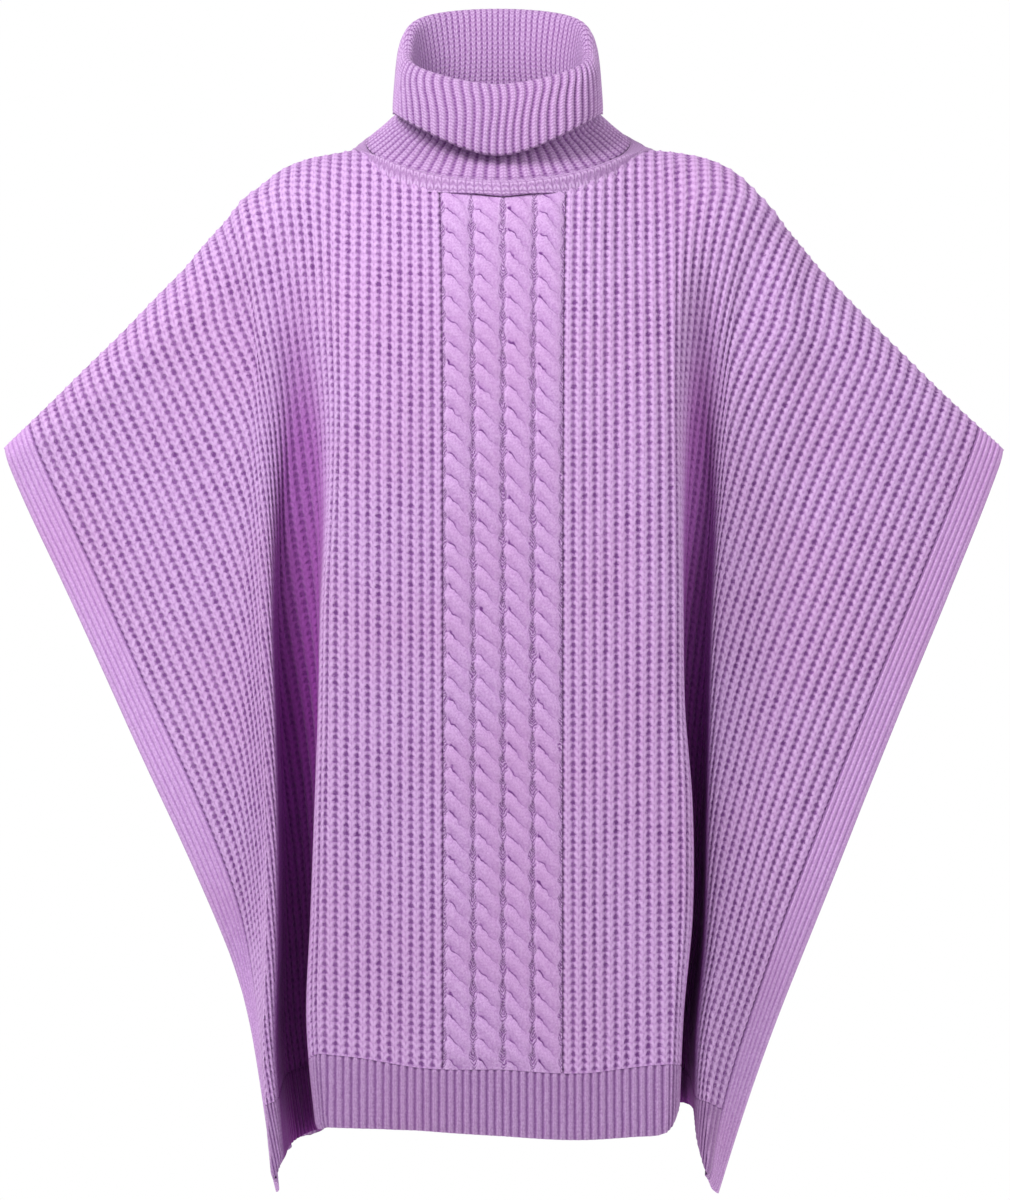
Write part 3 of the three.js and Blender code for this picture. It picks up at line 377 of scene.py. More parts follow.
# Shader sums are written as Python expressions on this wrapper.
class Link:
    def __init__(self, tree, socket):
        self.tree, self.socket = tree, socket

    def node(self, kind, settings=None, values=None, out=0):
        made = self.tree.nodes.new(kind)
        for key, value in (settings or {}).items():
            setattr(made, key, value)
        for key, value in (values or {}).items():
            if isinstance(value, Link):
                self.tree.links.new(value.socket, made.inputs[key])
            else:
                made.inputs[key].default_value = value
        return Link(self.tree, made.outputs[out])

    def calc(self, operation, *terms, clamped=False):
        return self.node("ShaderNodeMath", {"operation": operation, "use_clamp": clamped}, dict(enumerate(terms)))

    def __add__(self, other):
        return self.calc("ADD", self, other)

    def __radd__(self, other):
        return self.calc("ADD", other, self)

    def __sub__(self, other):
        return self.calc("SUBTRACT", self, other)

    def __rsub__(self, other):
        return self.calc("SUBTRACT", other, self)

    def __mul__(self, other):
        return self.calc("MULTIPLY", self, other)

    def __rmul__(self, other):
        return self.calc("MULTIPLY", other, self)

    def __truediv__(self, other):
        return self.calc("DIVIDE", self, other)

    def __pow__(self, other):
        return self.calc("POWER", self, other)

    def __abs__(self):
        return self.calc("ABSOLUTE", self)

    def sine(self):
        return self.calc("SINE", self)

    def root(self):
        return self.calc("SQRT", self)

    def part(self):  # what is past the whole number
        return self.calc("FRACT", self)

    def atLeast(self, other):
        return self.calc("MAXIMUM", self, other)

    def ramp(self, low, high):  # 0 below low, 1 above high, smooth between
        return self.node("ShaderNodeMapRange", {"interpolation_type": "SMOOTHSTEP"},
                         {0: self, 1: low, 2: high, 3: 0.0, 4: 1.0})

    def blend(self, first, second, mode="MIX"):  # colours, by this factor
        return self.node("ShaderNodeMix", {"data_type": "RGBA", "blend_type": mode}, {0: self, 6: first, 7: second}, 2)


def linear(red, green, blue):  # from 0 to 255 as seen on a screen
    def one(value):
        value = value / 255
        return value / 12.92 if value <= 0.04045 else ((value + 0.055) / 1.055) ** 2.4
    return (one(red), one(green), one(blue), 1.0)


# Colours of the yarn. deep and pit are painted shade for the holes and creases, fold is painted shade deep in the
# folds, and the highlight colour is a painted highlight; the others are the yarn's own.
yarn = {
    "pale": (232, 192, 243),
    "main": (208, 160, 221),
    "rose": (214, 160, 216),
    "deep": (124, 54, 148),
    "pit": (98, 44, 116),
    "fold": (186, 92, 190),
    "paintedHighlight": (240, 206, 252),
    "sheen": (236, 196, 246),
}
# Size of each noise, as its count of cells in a metre.
yarnNoise = {
    "tension": 170,       # columns wander by a few mm
    "courses": 140,
    "wander": 70,         # stitches grow and shrink
    "ragged": 900,
    "fibre": 2300,        # loose fibres
    "heather": 620,       # paler and deeper flecks along the yarn
    "cloud": 9,           # slow drift of the dye
}
yarnFeel = {"bump": 0.9, "specular": 0.18, "sheen": 0.28, "sheenRoughness": 0.45}


def halfCardigan(u, v, wander, ragged):  # columns of vees, with a hole between them at each course
    side = abs(u.part() - 0.5)              # 0 on the wale's middle, 0.5 at the holes
    fromHole = 0.5 - side
    rise = v.part() - 0.5
    size = 0.84 + 0.3 * wander
    reach = ((fromHole / (0.27 - 0.2 * rise)) ** 2 + (rise / 0.44) ** 2).root() / size + ragged * 1.3
    hole = 1 - reach.ramp(0.45, 1.15)
    link = 1 - fromHole.ramp(0.03, 0.19)    # painted shade along the line that runs from hole to hole
    course = (v - side * 1.5 + ragged * 0.3).part()         # the legs of each vee slant
    leg = (1 - ((side - 0.17) / 0.19) ** 2).atLeast(0).root()
    stitch = (course * math.pi).sine().atLeast(0).root()
    pin = (1 - side.ramp(0.015, 0.09)) * (1 - abs((v + 0.5).part() - 0.5).ramp(0.1, 0.36))
    legHighlight = leg * stitch.ramp(0.7, 1.0)
    height = leg * (0.5 + 0.5 * stitch) * 0.42 - hole * 0.75
    # Painted shade in the holes, along the line from hole to hole, at the pin between the legs and between the
    # stitches; the legs' crests get a painted highlight.
    dark = (hole * (0.52 + 0.4 * wander)).atLeast(link * 0.38).atLeast(pin * 0.3)
    return height, dark.atLeast((1 - stitch) * 0.16 + (1 - leg) * 0.12) - legHighlight * 0.14


def ropeCable(u, v, wander, ragged):  # slanting lobes laid over each other, and ladders between the ropes
    x = u.part() - 0.5
    t = (v - ((x * math.pi).sine() * 0.46 + 0.46) + 0.5).part() - 0.5
    over, under = t + 0.5, 0.5 - t          # from the crease above this lobe, and from the one below it
    middle = 1 - abs(x + 0.05).ramp(0.12, 0.45)             # of the rope's width, and its left part
    left = 1 - abs(x + 0.22).ramp(0.02, 0.3)
    # crease, shadow and pit darken the colour as painted shade.
    crease = (1 - under.ramp(0.02, 0.17)) * (0.5 * middle + 0.45 * left)
    shadow = (1 - under.ramp(0.0, 0.55)) * middle
    fromPit = (((x + 0.27) / 0.1) ** 2 + ((under - 0.05) / 0.15) ** 2).root()
    pit = (1 - fromPit.ramp(0.3, 1.1)) * wander.ramp(0.4, 0.62)
    # painted highlight on the edge of the next lobe
    lipHighlight = (1 - abs(over - 0.035).ramp(0.0, 0.05)) * middle
    reach = 0.405 + 0.04 * ((t + 0.25) * (2 * math.pi)).sine()
    edge = (abs(x) - reach).ramp(-0.02, 0.035)
    # a raised rim along the ladder's edge, also lightened as a painted highlight
    rim = (1 - abs(abs(x) - reach + 0.03).ramp(0.0, 0.03)) * (1 - edge)
    strand = ((x * 11.0 - v * 1.5).part() * math.pi).sine()
    fine = ((v * 5.6 + strand * 0.5 + ragged).part() * math.pi).sine()
    slant = (0.5 - abs(x)) * 13.0
    zigzag = ((v * 6.2 + slant + ragged) * (2 * math.pi)).sine() * 0.5 + 0.5
    height = (fine * 0.16 + strand * 0.12) * (1 - edge) + edge * (zigzag * 0.9 - 0.4) - crease * 0.5 + rim * 0.15
    # Painted shade in the creases, the pits, the lobes' shadow, the ladders and between the strands; the lip, the rim
    # and the strands' crests get a painted highlight.
    dark = (crease * (0.75 + 0.4 * wander)).atLeast(pit * 0.9).atLeast(shadow * 0.3) - lipHighlight * 0.24
    dark = dark.atLeast((1 - fine) * 0.08 + (1 - strand) * 0.05) * (1 - edge) + edge * (0.8 - 1.0 * zigzag)
    return height, dark - rim * 0.16 - (1 - edge) * fine.ramp(0.8, 1.0) * 0.06


def plainRib(u, v, wander, ragged):  # one knit column and one purl valley
    side = abs(u.part() - 0.5)
    course = (v + side * 1.3 + ragged * 0.3).part()
    leg = (1 - ((side - 0.15) / 0.17) ** 2).atLeast(0).root()
    stitch = (course * math.pi).sine().atLeast(0) ** 0.7
    valley = (side + ragged * 0.1).ramp(0.22, 0.46)
    bar = (v * (2 * math.pi)).sine()
    height = leg * (0.4 + 0.6 * stitch) * 0.7 + valley * bar * 0.3
    # Painted shade in the purl valleys, between the stitches and down the wale's middle; the legs' crests get a
    # painted highlight.
    dark = (valley * (0.64 + 0.16 * bar)).atLeast((1 - stitch) * 0.3).atLeast((1 - side.ramp(0.0, 0.06)) * 0.26)
    return height, dark - leg * stitch.ramp(0.7, 1.0) * 0.24


def softRib(u, v, wander, ragged):  # its stitches sunk into long strands
    side = abs(u.part() - 0.5)
    valley = (side + ragged * 0.25).ramp(0.2, 0.47)
    strand = abs(side - 0.15).ramp(0.02, 0.14)
    course = (((v + side * 1.3 + ragged * 0.6).part()) * math.pi).sine()
    height = (1 - strand) * 0.35 + course * 0.16
    # Painted shade in the valleys, beside the strands and between the courses, with a painted highlight on the
    # strands.
    return height, (valley * 0.62).atLeast(strand * 0.16).atLeast((1 - course) * 0.12) - (1 - strand) * course * 0.08


def edgeRib(u, v, wander, ragged):  # a paler soft rib
    height, dark = softRib(u, v, wander, ragged)
    return height, dark * 0.7 - 0.03


def backRib(u, v, wander, ragged):  # the finer columns of the collar's other face
    return plainRib(u * (94 / 68), v * 1.1, wander, ragged)


def smallVees(u, v, wander, ragged):  # a fine stocking stitch
    side = abs(u.part() - 0.5)
    course = (v + side * 1.0 + ragged * 0.5).part()
    leg = (1 - ((side - 0.22) / 0.24) ** 2).atLeast(0).root()
    stitch = (course * math.pi).sine().atLeast(0) ** 0.7
    height = leg * (0.4 + 0.6 * stitch) * 0.9
    # Painted shade between the legs and the stitches, with a painted highlight on the legs' crests.
    dark = ((1 - leg) * 0.4).atLeast((1 - stitch) * 0.42)
    return height, dark - leg * stitch.ramp(0.7, 1.0) * 0.25


def newMaterial(name):
    material = bpy.data.materials.new(name)
    material.use_nodes = True
    tree = material.node_tree
    return material, tree, tree.nodes["Principled BSDF"], Link(tree, None)


def yarnMaterial(name, pattern, tint=1.0, relief=1.0):
    material, tree, shader, start = newMaterial(name)
    stitches = start.node("ShaderNodeUVMap", {"uv_map": "stitches"})
    u = start.node("ShaderNodeSeparateXYZ", None, {0: stitches}, 0)
    v = start.node("ShaderNodeSeparateXYZ", None, {0: stitches}, 1)
    place = start.node("ShaderNodeTexCoord", None, None, 3)     # in metres of the piece

    def noise(scale, detail, rough=0.5, distortion=0.0):
        return start.node("ShaderNodeTexNoise", None, {"Vector": place, "Scale": scale, "Detail": detail,
                                                       "Roughness": rough, "Distortion": distortion}, 0)

    u = u + (noise(yarnNoise["tension"], 2) - 0.5) * 0.2
    v = v + (noise(yarnNoise["courses"], 1) - 0.5) * 0.36
    shade = start.node("ShaderNodeAttribute", {"attribute_name": "shade"}, None, 2)
    height, dark = pattern(u, v, noise(yarnNoise["wander"], 1), noise(yarnNoise["ragged"], 1) - 0.5)
    # Deep in the folds the pattern's painted shade and highlight fade a little.
    dark = dark * (1 - shade * 0.35)
    fibre = noise(yarnNoise["fibre"], 3, 0.7, 1.2)
    heather = noise(yarnNoise["heather"], 2, 0.6)
    cloud = noise(yarnNoise["cloud"], 2)
    base = heather.ramp(0.3, 0.72).blend(linear(*yarn["main"]), linear(*yarn["pale"]))
    base = (cloud.ramp(0.35, 0.7) * 0.35).blend(base, linear(*yarn["rose"]))
    # Painted shade: the pattern's dark share (holes, valleys, creases, ladders) turns the colour towards the deep
    # colour, and its darkest part towards the pit colour.
    paintedShade = dark.calc("MULTIPLY", dark, 0.85 + 0.3 * fibre, clamped=True)
    colour = paintedShade.blend(base, linear(*yarn["deep"]))
    colour = (dark.ramp(0.6, 1.0) * 0.7).blend(colour, linear(*yarn["pit"]))
    colour = (fibre.ramp(0.55, 0.8) * 0.16).blend(colour, linear(*yarn["pale"]))
    # Painted highlight: where the pattern's dark share is below zero the colour turns towards the highlight colour.
    colour = (dark * -3.0).atLeast(0).blend(colour, linear(*yarn["paintedHighlight"]))
    # Painted shade deep in the folds: the colour is multiplied towards the fold colour by the shade attribute.
    colour = (shade * 0.97).blend(colour, linear(*yarn["fold"]), "MULTIPLY")
    colour = start.node("ShaderNodeMix", {"data_type": "RGBA", "blend_type": "MULTIPLY"},
                        {0: 1.0, 6: colour, 7: (tint, tint, tint, 1.0)}, 2)
    fuzz = (fibre - 0.5) * 0.35 + (heather - 0.5) * 0.25
    normal = start.node("ShaderNodeBump", None, {"Strength": yarnFeel["bump"], "Distance": 0.001 * relief,
                                                 "Height": height + fuzz})
    tree.links.new(colour.socket, shader.inputs["Base Color"])
    tree.links.new((0.86 + 0.12 * fibre).socket, shader.inputs["Roughness"])
    tree.links.new(normal.socket, shader.inputs["Normal"])
    shader.inputs["Specular IOR Level"].default_value = yarnFeel["specular"]
    shader.inputs["Sheen Weight"].default_value = yarnFeel["sheen"]
    shader.inputs["Sheen Roughness"].default_value = yarnFeel["sheenRoughness"]
    shader.inputs["Sheen Tint"].default_value = linear(*yarn["sheen"])
    return material


# Front and back panels: columns of the flat cloth at even places, rows that follow the courses.
panelKnit = {
    "wales": 44,          # on each side of the cables, or of the middle
    "columns": 4,         # mesh columns in a wale
    "course": 5.9,
    "rowsInCourse": 2,
    "crest": 0.9,         # top of a wale above the cloth's face
    "valley": -1.3,
    "hole": -1.1,         # further down at a hole
    "insideColumns": 91,  # of the plain inner face
    "insideSpacing": 18,
    "sideRows": 200,      # down each side edge
}
cableKnit = {
    "ropes": 4,
    "crossing": 16.9,
    "columns": 12,        # mesh columns in a rope
    "crease": 0.4,        # height of a rope between its lobes
    "lobe": 3.8,          # and on a lobe's back
    "ladder": -0.7,
    "half": 0.42,         # of a rope, as a share of the pitch
    "bulge": 0.05,
    "slant": 0.92,        # how far down a lobe goes from left to right, in crossings
    "spacing": 1.9,       # of the mesh rows
}


def waleRelief(wale, course):
    swell = swellAt(wale)
    hole = (1 - swell) ** 2 * swellAt(course)
    return mix(panelKnit["valley"], panelKnit["crest"], swell ** 0.8) + panelKnit["hole"] * hole


def cableRelief(rope, crossing):
    x = rope - np.floor(rope) - 0.5
    t = crossing - cableKnit["slant"] * (0.5 + 0.5 * np.sin(np.pi * x))
    t = t - np.round(t)
    edge = cableKnit["half"] + cableKnit["bulge"] * np.cos(2 * np.pi * t)
    dome = np.sqrt(np.maximum(0, 1 - (x / edge) ** 2))
    back = smooth(-0.52, -0.3, t) * (1 - 0.95 * smooth(-0.05, 0.52, t))
    body = mix(cableKnit["crease"], cableKnit["lobe"], back) * dome ** 0.8
    return np.where(np.abs(x) < edge, np.maximum(body, cableKnit["ladder"] + 3 * dome), cableKnit["ladder"])


def panelPiece(face, name, creases, cables, materials):
    lift = cut["hemRibHeight"] + cut["gap"]
    start = cut["cableHalf"] if cables else 0
    pitch = (panelHalf - halfGap - start) / panelKnit["wales"]
    side = start + pitch * np.arange(panelKnit["wales"] * panelKnit["columns"] + 1) / panelKnit["columns"]
    cloth = Cloth()
    flipped = face["facing"] > 0

    def rowsAt(across, spacing):  # from the bottom edge up, held at the top edge
        bottom, top = fullDown(face, across) - lift, topDown(face, across)
        rows = int(np.ceil((bottom - top).max() / spacing)) + 1
        up = np.minimum(np.arange(rows)[:, None] * spacing, (bottom - top)[None, :])
        return bottom[None, :] - up, up

    def addFace(across, spacing, reliefAt, stitchAt, slot, depth, flip):
        down, up = rowsAt(across, spacing)
        wide = np.broadcast_to(across, down.shape)
        relief = reliefAt(wide, up) + creaseHeight(creases, wide, down)
        fromTop = down - topDown(face, across)[None, :]
        relief = relief * smooth(-1, 4, fromTop)
        points = clothPoint(face, wide, down) + clothNormal(face, wide, down) * (relief - depth)[..., None]
        keepApart(face, points)
        index = cloth.addPoints(points, shadeAt(face, wide, down) if depth == 0 else 0.0).reshape(down.shape)
        first = (up >= up.max(0)[None, :] - 1e-6).argmax(0)      # rows past the top edge share its points
        rowIndex = np.minimum(np.arange(len(down))[:, None], first[None, :])
        index = np.take_along_axis(index, rowIndex, 0)
        cloth.addGrid(index[::-1], stitchAt(wide, up)[::-1], slot, flip)

    def waleStitch(wide, up):
        return np.stack([(np.abs(wide) - start) / pitch, up / panelKnit["course"]], -1)

    def waleHeight(wide, up):
        stitch = waleStitch(wide, up)
        return waleRelief(stitch[..., 0], stitch[..., 1])

    def noHeight(wide, up):
        return np.zeros(wide.shape)

    def cableStitch(wide, up):
        rope = (wide + start) * cableKnit["ropes"] / (2 * cut["cableHalf"])
        return np.stack([rope, -up / cableKnit["crossing"]], -1)

    def cableHeight(wide, up):
        stitch = cableStitch(wide, up)
        underWelt = up.max(0)[None, :] - up
        return cableRelief(stitch[..., 0], stitch[..., 1]) * smooth(-2, 11, up) * smooth(-2, 16, underWelt)

    spacing = panelKnit["course"] / panelKnit["rowsInCourse"]
    addFace(-side[::-1], spacing, waleHeight, waleStitch, 0, 0, flipped)
    if cables:
        middle = np.linspace(-start, start, cableKnit["ropes"] * cableKnit["columns"] + 1)
        addFace(middle, cableKnit["spacing"], cableHeight, cableStitch, 1, 0, flipped)
    addFace(side, spacing, waleHeight, waleStitch, 0, 0, flipped)
    across = np.linspace(-side[-1], side[-1], panelKnit["insideColumns"])
    addFace(across, panelKnit["insideSpacing"], noHeight, waleStitch, 0, cut["wall"], not flipped)

    def addRim(across, down, flip):  # an edge of the cloth, from its outer to its inner face
        relief = creaseHeight(creases, across, down)
        normal = clothNormal(face, across, down)
        rings = np.stack([clothPoint(face, across, down) + normal * (relief - depth)[..., None]
                          for depth in (0, cut["wall"])])
        keepApart(face, rings)
        index = cloth.addPoints(rings, shadeAt(face, across, down)).reshape(2, -1)
        stitches = np.stack([np.stack([across / pitch, down / panelKnit["course"]], -1)] * 2)
        cloth.addGrid(index, stitches, 0, flip)

    wide = np.concatenate([-side[::-1], middle[1:-1], side] if cables else [-side[::-1], side[1:]])
    addRim(wide, topDown(face, wide), not flipped)
    addRim(wide, fullDown(face, wide) - lift, flipped)
    for sign in (-1, 1):
        bottom = fullDown(face, np.array(sign * side[-1])) - lift
        down = np.linspace(float(topDown(face, np.array(side[-1]))), float(bottom), panelKnit["sideRows"])
        addRim(np.full(len(down), sign * side[-1]), down, flipped if sign < 0 else not flipped)
    return cloth.makeMesh(name, materials)


hemKnit = {
    "pitch": 6.2,         # of the ribs
    "columns": 6,         # mesh columns in a rib
    "course": 3.4,
    "crest": 1.0,
    "valley": -1.5,
    "rows": 17,
    "below": 1,           # first row under the panel's seam line
    "tuck": 2.5,          # and from the line to the row behind the panel
    "tuckDepth": -1.6,
    "edge": -1.2,         # the bottom edge rounds off
}
innerRows = 4             # outer rows of a band for each row inside it


def bandPiece(face, name, creases, across, rowsFor, reliefAt, stitchAt, materials, innerStep):
    cloth = Cloth()
    flipped = face["facing"] > 0

    def layer(wide, down, depth, flip, shaped):
        relief = creaseHeight(creases, wide, down) + (reliefAt(wide, down) if shaped else 0)
        points = clothPoint(face, wide, down) + clothNormal(face, wide, down) * (relief - depth)[..., None]
        keepApart(face, points)
        index = cloth.addPoints(points, shadeAt(face, wide, down) if shaped else 0.0).reshape(down.shape)
        cloth.addGrid(index, stitchAt(wide, down), 0, flip)

    down = rowsFor(across)
    wide = np.broadcast_to(across, down.shape)
    layer(wide, down, 0, flipped, True)
    few = np.unique(np.append(across[::innerStep], across[-1]))
    fewDown = rowsFor(few)
    rowPick = np.unique(np.append(np.arange(0, len(fewDown), innerRows), len(fewDown) - 1))
    layer(np.broadcast_to(few, fewDown.shape)[rowPick], fewDown[rowPick], cut["wall"], not flipped, False)

    def rim(wide, down, flip):
        relief = creaseHeight(creases, wide, down) + reliefAt(wide, down)
        normal = clothNormal(face, wide, down)
        base = clothPoint(face, wide, down)
        rings = np.stack([base + normal * relief[..., None], base - normal * cut["wall"]])
        keepApart(face, rings)
        index = cloth.addPoints(rings, shadeAt(face, wide, down)).reshape(2, -1)
        cloth.addGrid(index, np.stack([stitchAt(wide, down)] * 2), 0, flip)

    rim(wide[0], down[0], not flipped)
    rim(wide[-1], down[-1], flipped)
    rim(wide[:, 0], down[:, 0], flipped)
    rim(wide[:, -1], down[:, -1], not flipped)
    return cloth.makeMesh(name, materials)


def hemPiece(face, name, creases, materials):
    reach = panelHalf - halfGap
    ribs = round(2 * reach / hemKnit["pitch"])
    across = np.linspace(-reach, reach, ribs * hemKnit["columns"] + 1)

    def rowsFor(wide):
        top, bottom = fullDown(face, wide) - cut["hemRibHeight"] + hemKnit["below"], hemDown(face, wide)
        rows = top[None, :] + np.linspace(0, 1, hemKnit["rows"])[:, None] * (bottom - top)[None, :]
        return np.concatenate([top[None, :] - hemKnit["tuck"], rows])

    def stitchAt(wide, down):
        return np.stack([(wide + reach) / (2 * reach) * ribs, (hemDown(face, wide) - down) / hemKnit["course"]], -1)

    def reliefAt(wide, down):
        swell = swellAt(stitchAt(wide, down)[..., 0])
        up = hemDown(face, wide) - down
        edge = smooth(0, 5, up)
        rounding = hemKnit["edge"] * (1 - edge)
        tucked = smooth(1, -1.5, down - fullDown(face, wide) + cut["hemRibHeight"])
        shape = mix(hemKnit["valley"], hemKnit["crest"], swell ** 0.8) * (0.4 + 0.6 * edge) + rounding
        return mix(shape, hemKnit["tuckDepth"], tucked)

    return bandPiece(face, name, creases, across, rowsFor, reliefAt, stitchAt, materials, hemKnit["columns"])


borderKnit = {
    "ribs": 6,
    "columns": 6,         # mesh columns in a rib
    "course": 3.4,
    "crest": 0.7,
    "valley": -0.7,
    "rows": 181,
    "edge": -1.4,         # its free edges round off
    "innerStep": 10,      # outer columns for each column inside
}


def borderPiece(face, sign, name, creases, materials):
    inside = panelHalf + halfGap
    across = np.sort(sign * np.linspace(inside, cut["halfWidth"], borderKnit["ribs"] * borderKnit["columns"] + 1))

    def rowsFor(wide):
        top, bottom = topDown(face, wide), hemDown(face, wide)
        return top[None, :] + np.linspace(0, 1, borderKnit["rows"])[:, None] * (bottom - top)[None, :]

    def stitchAt(wide, down):
        return np.stack([(np.abs(wide) - inside) / cut["borderWidth"] * borderKnit["ribs"],
                         (hemDown(face, wide) - down) / borderKnit["course"]], -1)

    def reliefAt(wide, down):
        swell = swellAt(stitchAt(wide, down)[..., 0])
        fromEdge = np.minimum(smooth(0, 5, cut["halfWidth"] - np.abs(wide)), smooth(0, 5, hemDown(face, wide) - down))
        fromTop = smooth(-1, 4, down - topDown(face, wide))
        shape = mix(borderKnit["valley"], borderKnit["crest"], swell) * (0.4 + 0.6 * fromEdge)
        return (shape + borderKnit["edge"] * (1 - fromEdge)) * fromTop

    return bandPiece(face, name, creases, across, rowsFor, reliefAt, stitchAt, materials, borderKnit["innerStep"])


# The neck: rows from the welt's top edge, round the turned-over collar and back down its inside.
collarKnit = {
    "ribs": 68,
    "columns": 6,         # mesh columns in a rib
    "course": 3.0,
    "crest": 0.9,
    "valley": -1.3,
    "centre": -4,         # how far it stands off the middle
    "gather": 0.17,       # ribs of the turned-over part crowd to the front, in radians
    "sway": 0.03,         # and wave a little
    "insideFrom": 9.4,    # the row past which its other face shows
    "sharp": (2.01, 6.2),   # rows between these are joined by straight lines
}
collarRows = [  # name, half width, front, back, its heights there and at the side, relief, square, arch
    ("base", 103, 78, 69, -31, 6, 27, 0.4, 0, 0), ("flare", 86, 67, 65, -12, 19, 47, 1, 0, 0),
    ("tube", 72, 60, 63, 2, 33, 66, 1, 0.3, 0), ("tubeTop", 70, 57, 69, 33, 64, 107, 0, 1, 0.3),
    ("foldTop", 72.5, 60, 72, 33, 64, 107, 0, 1, 0.3), ("foldBottom", 78, 72.5, 77, -11, 30, 63, 0, 1, 0.8),
    ("hemBottom", 81, 77, 82, -12, 29, 62, 1, 1, 0.8), ("hemMiddle", 80, 74, 83, 14, 52, 88, 1, 1, 0.55),
    ("hemTop", 77.5, 66.5, 81, 36, 70, 112, 1, 1, 0.35), ("rim", 71.5, 58, 75, 45, 79, 120, 0.5, 1, 0.3),
    ("innerTop", 65, 50.5, 66, 36, 70, 111, 0, 1, 0.3), ("innerLow", 67, 55, 58, 2, 35, 64, 0, 0.3, 0),
    ("innerBase", 100, 75, 66, -33.5, 3, 23.5, 0, 0, 0)]
collarSteps = {  # mesh rows from each of these to the next, in their order
    "base": 4, "flare": 6, "tube": 6, "tubeTop": 1, "foldTop": 4, "foldBottom": 2, "hemBottom": 9, "hemMiddle": 8,
    "hemTop": 5, "rim": 5, "innerTop": 8, "innerLow": 8}


def ringPoint(row, angle):  # row as in collarRows, without its name
    halfWide, ahead, behind, lowFront, lowSide, lowBack, _, square, arch = row
    forward, sideways = np.cos(angle), np.sin(angle)
    swell = mix(1, (np.abs(forward) ** 3 + np.abs(sideways) ** 3) ** (-1 / 3), square)
    bent = mix(-0.35 * square, arch, smooth(-0.35, 0.35, forward))
    end = forward * (1 + bent * (forward ** 2 - 1))
    tilt, bow = (lowFront - lowBack) / 2, (lowFront + lowBack) / 2 - lowSide
    depth = np.where(forward > 0, ahead, behind)
    return np.stack([collarKnit["centre"] + halfWide * sideways * swell, -forward * swell * depth,
                     lowSide + tilt * end + bow * end * end], -1)


def closeRings(rings):  # their last column is the first one
    rings = np.array(rings)
    rings[:, -1] = rings[:, 0]
    cloth = Cloth()
    index = cloth.addPoints(rings).reshape(rings.shape[:2])
    index[:, -1] = index[:, 0]
    return rings, cloth, index


def collarPiece(name, materials):
    angle = np.linspace(-np.pi, np.pi, collarKnit["ribs"] * collarKnit["columns"] + 1)
    wale = np.linspace(0, collarKnit["ribs"], len(angle))
    relief = mix(collarKnit["valley"], collarKnit["crest"], swellAt(wale) ** 0.8)
    values = np.array([row[1:] for row in collarRows], float)
    share = [k + step / count for k, count in enumerate(collarSteps.values()) for step in range(count)]
    share = np.array(share + [len(collarRows) - 1])
    order = np.arange(len(collarRows))
    rounded = [curve(order, column, share) for column in values.T]
    straight = [np.interp(share, order, column) for column in values.T]
    low, high = collarKnit["sharp"]
    sharp = ((share > low) & (share < high))[None, :]
    shape = np.where(sharp, np.array(straight), np.array(rounded)).T
    outward = unit(np.stack([np.sin(angle) / 80, -np.cos(angle) / 70, np.zeros(len(angle))], -1))   # of an oval
    rings = []
    lowered = np.interp(share, (3, 5, 6, 9), (0, 1, 1, 0))   # how far down the turned-over part
    for row, low in zip(shape, lowered):
        moved = angle - low * collarKnit["gather"] * np.sin(angle)
        wave = np.sin(math.pi * low) * np.cos(angle / 2) ** 2
        moved = moved + collarKnit["sway"] * np.sin(3 * angle + 4 * low) * wave
        rings.append(ringPoint(row, moved) + outward * (relief * np.clip(row[6], 0, 1))[:, None])
    rings, cloth, index = closeRings(rings)
    run = np.concatenate([[0], np.cumsum(np.linalg.norm(np.diff(rings[:, len(angle) // 2], axis=0), axis=1))])
    stitches = np.stack(np.broadcast_arrays(wale[None, :], (run / collarKnit["course"])[:, None]), -1)
    turned = int(np.argmax(share >= collarKnit["insideFrom"]))
    cloth.addGrid(index[:turned + 1], stitches[:turned + 1], 0, True)
    cloth.addGrid(index[turned:], stitches[turned:], 1, True)
    cloth.addGrid(np.stack([index[-1], index[0]]), np.stack([stitches[-1], stitches[0]]), 0, True)
    return cloth.makeMesh(name, materials)


weltKnit = {
    "bulge": 6.5,
    "stitches": 118,      # all round
    "columns": 6,         # mesh columns in a stitch
    "rows": 17,
    "rowsInStitch": 1.7,
    "dimple": 0.35,
    "clear": 0.5,         # of the collar's base
    "slack": 4,           # how far it hangs over the neckline
    "sag": 11,            # and more between front and shoulders
}


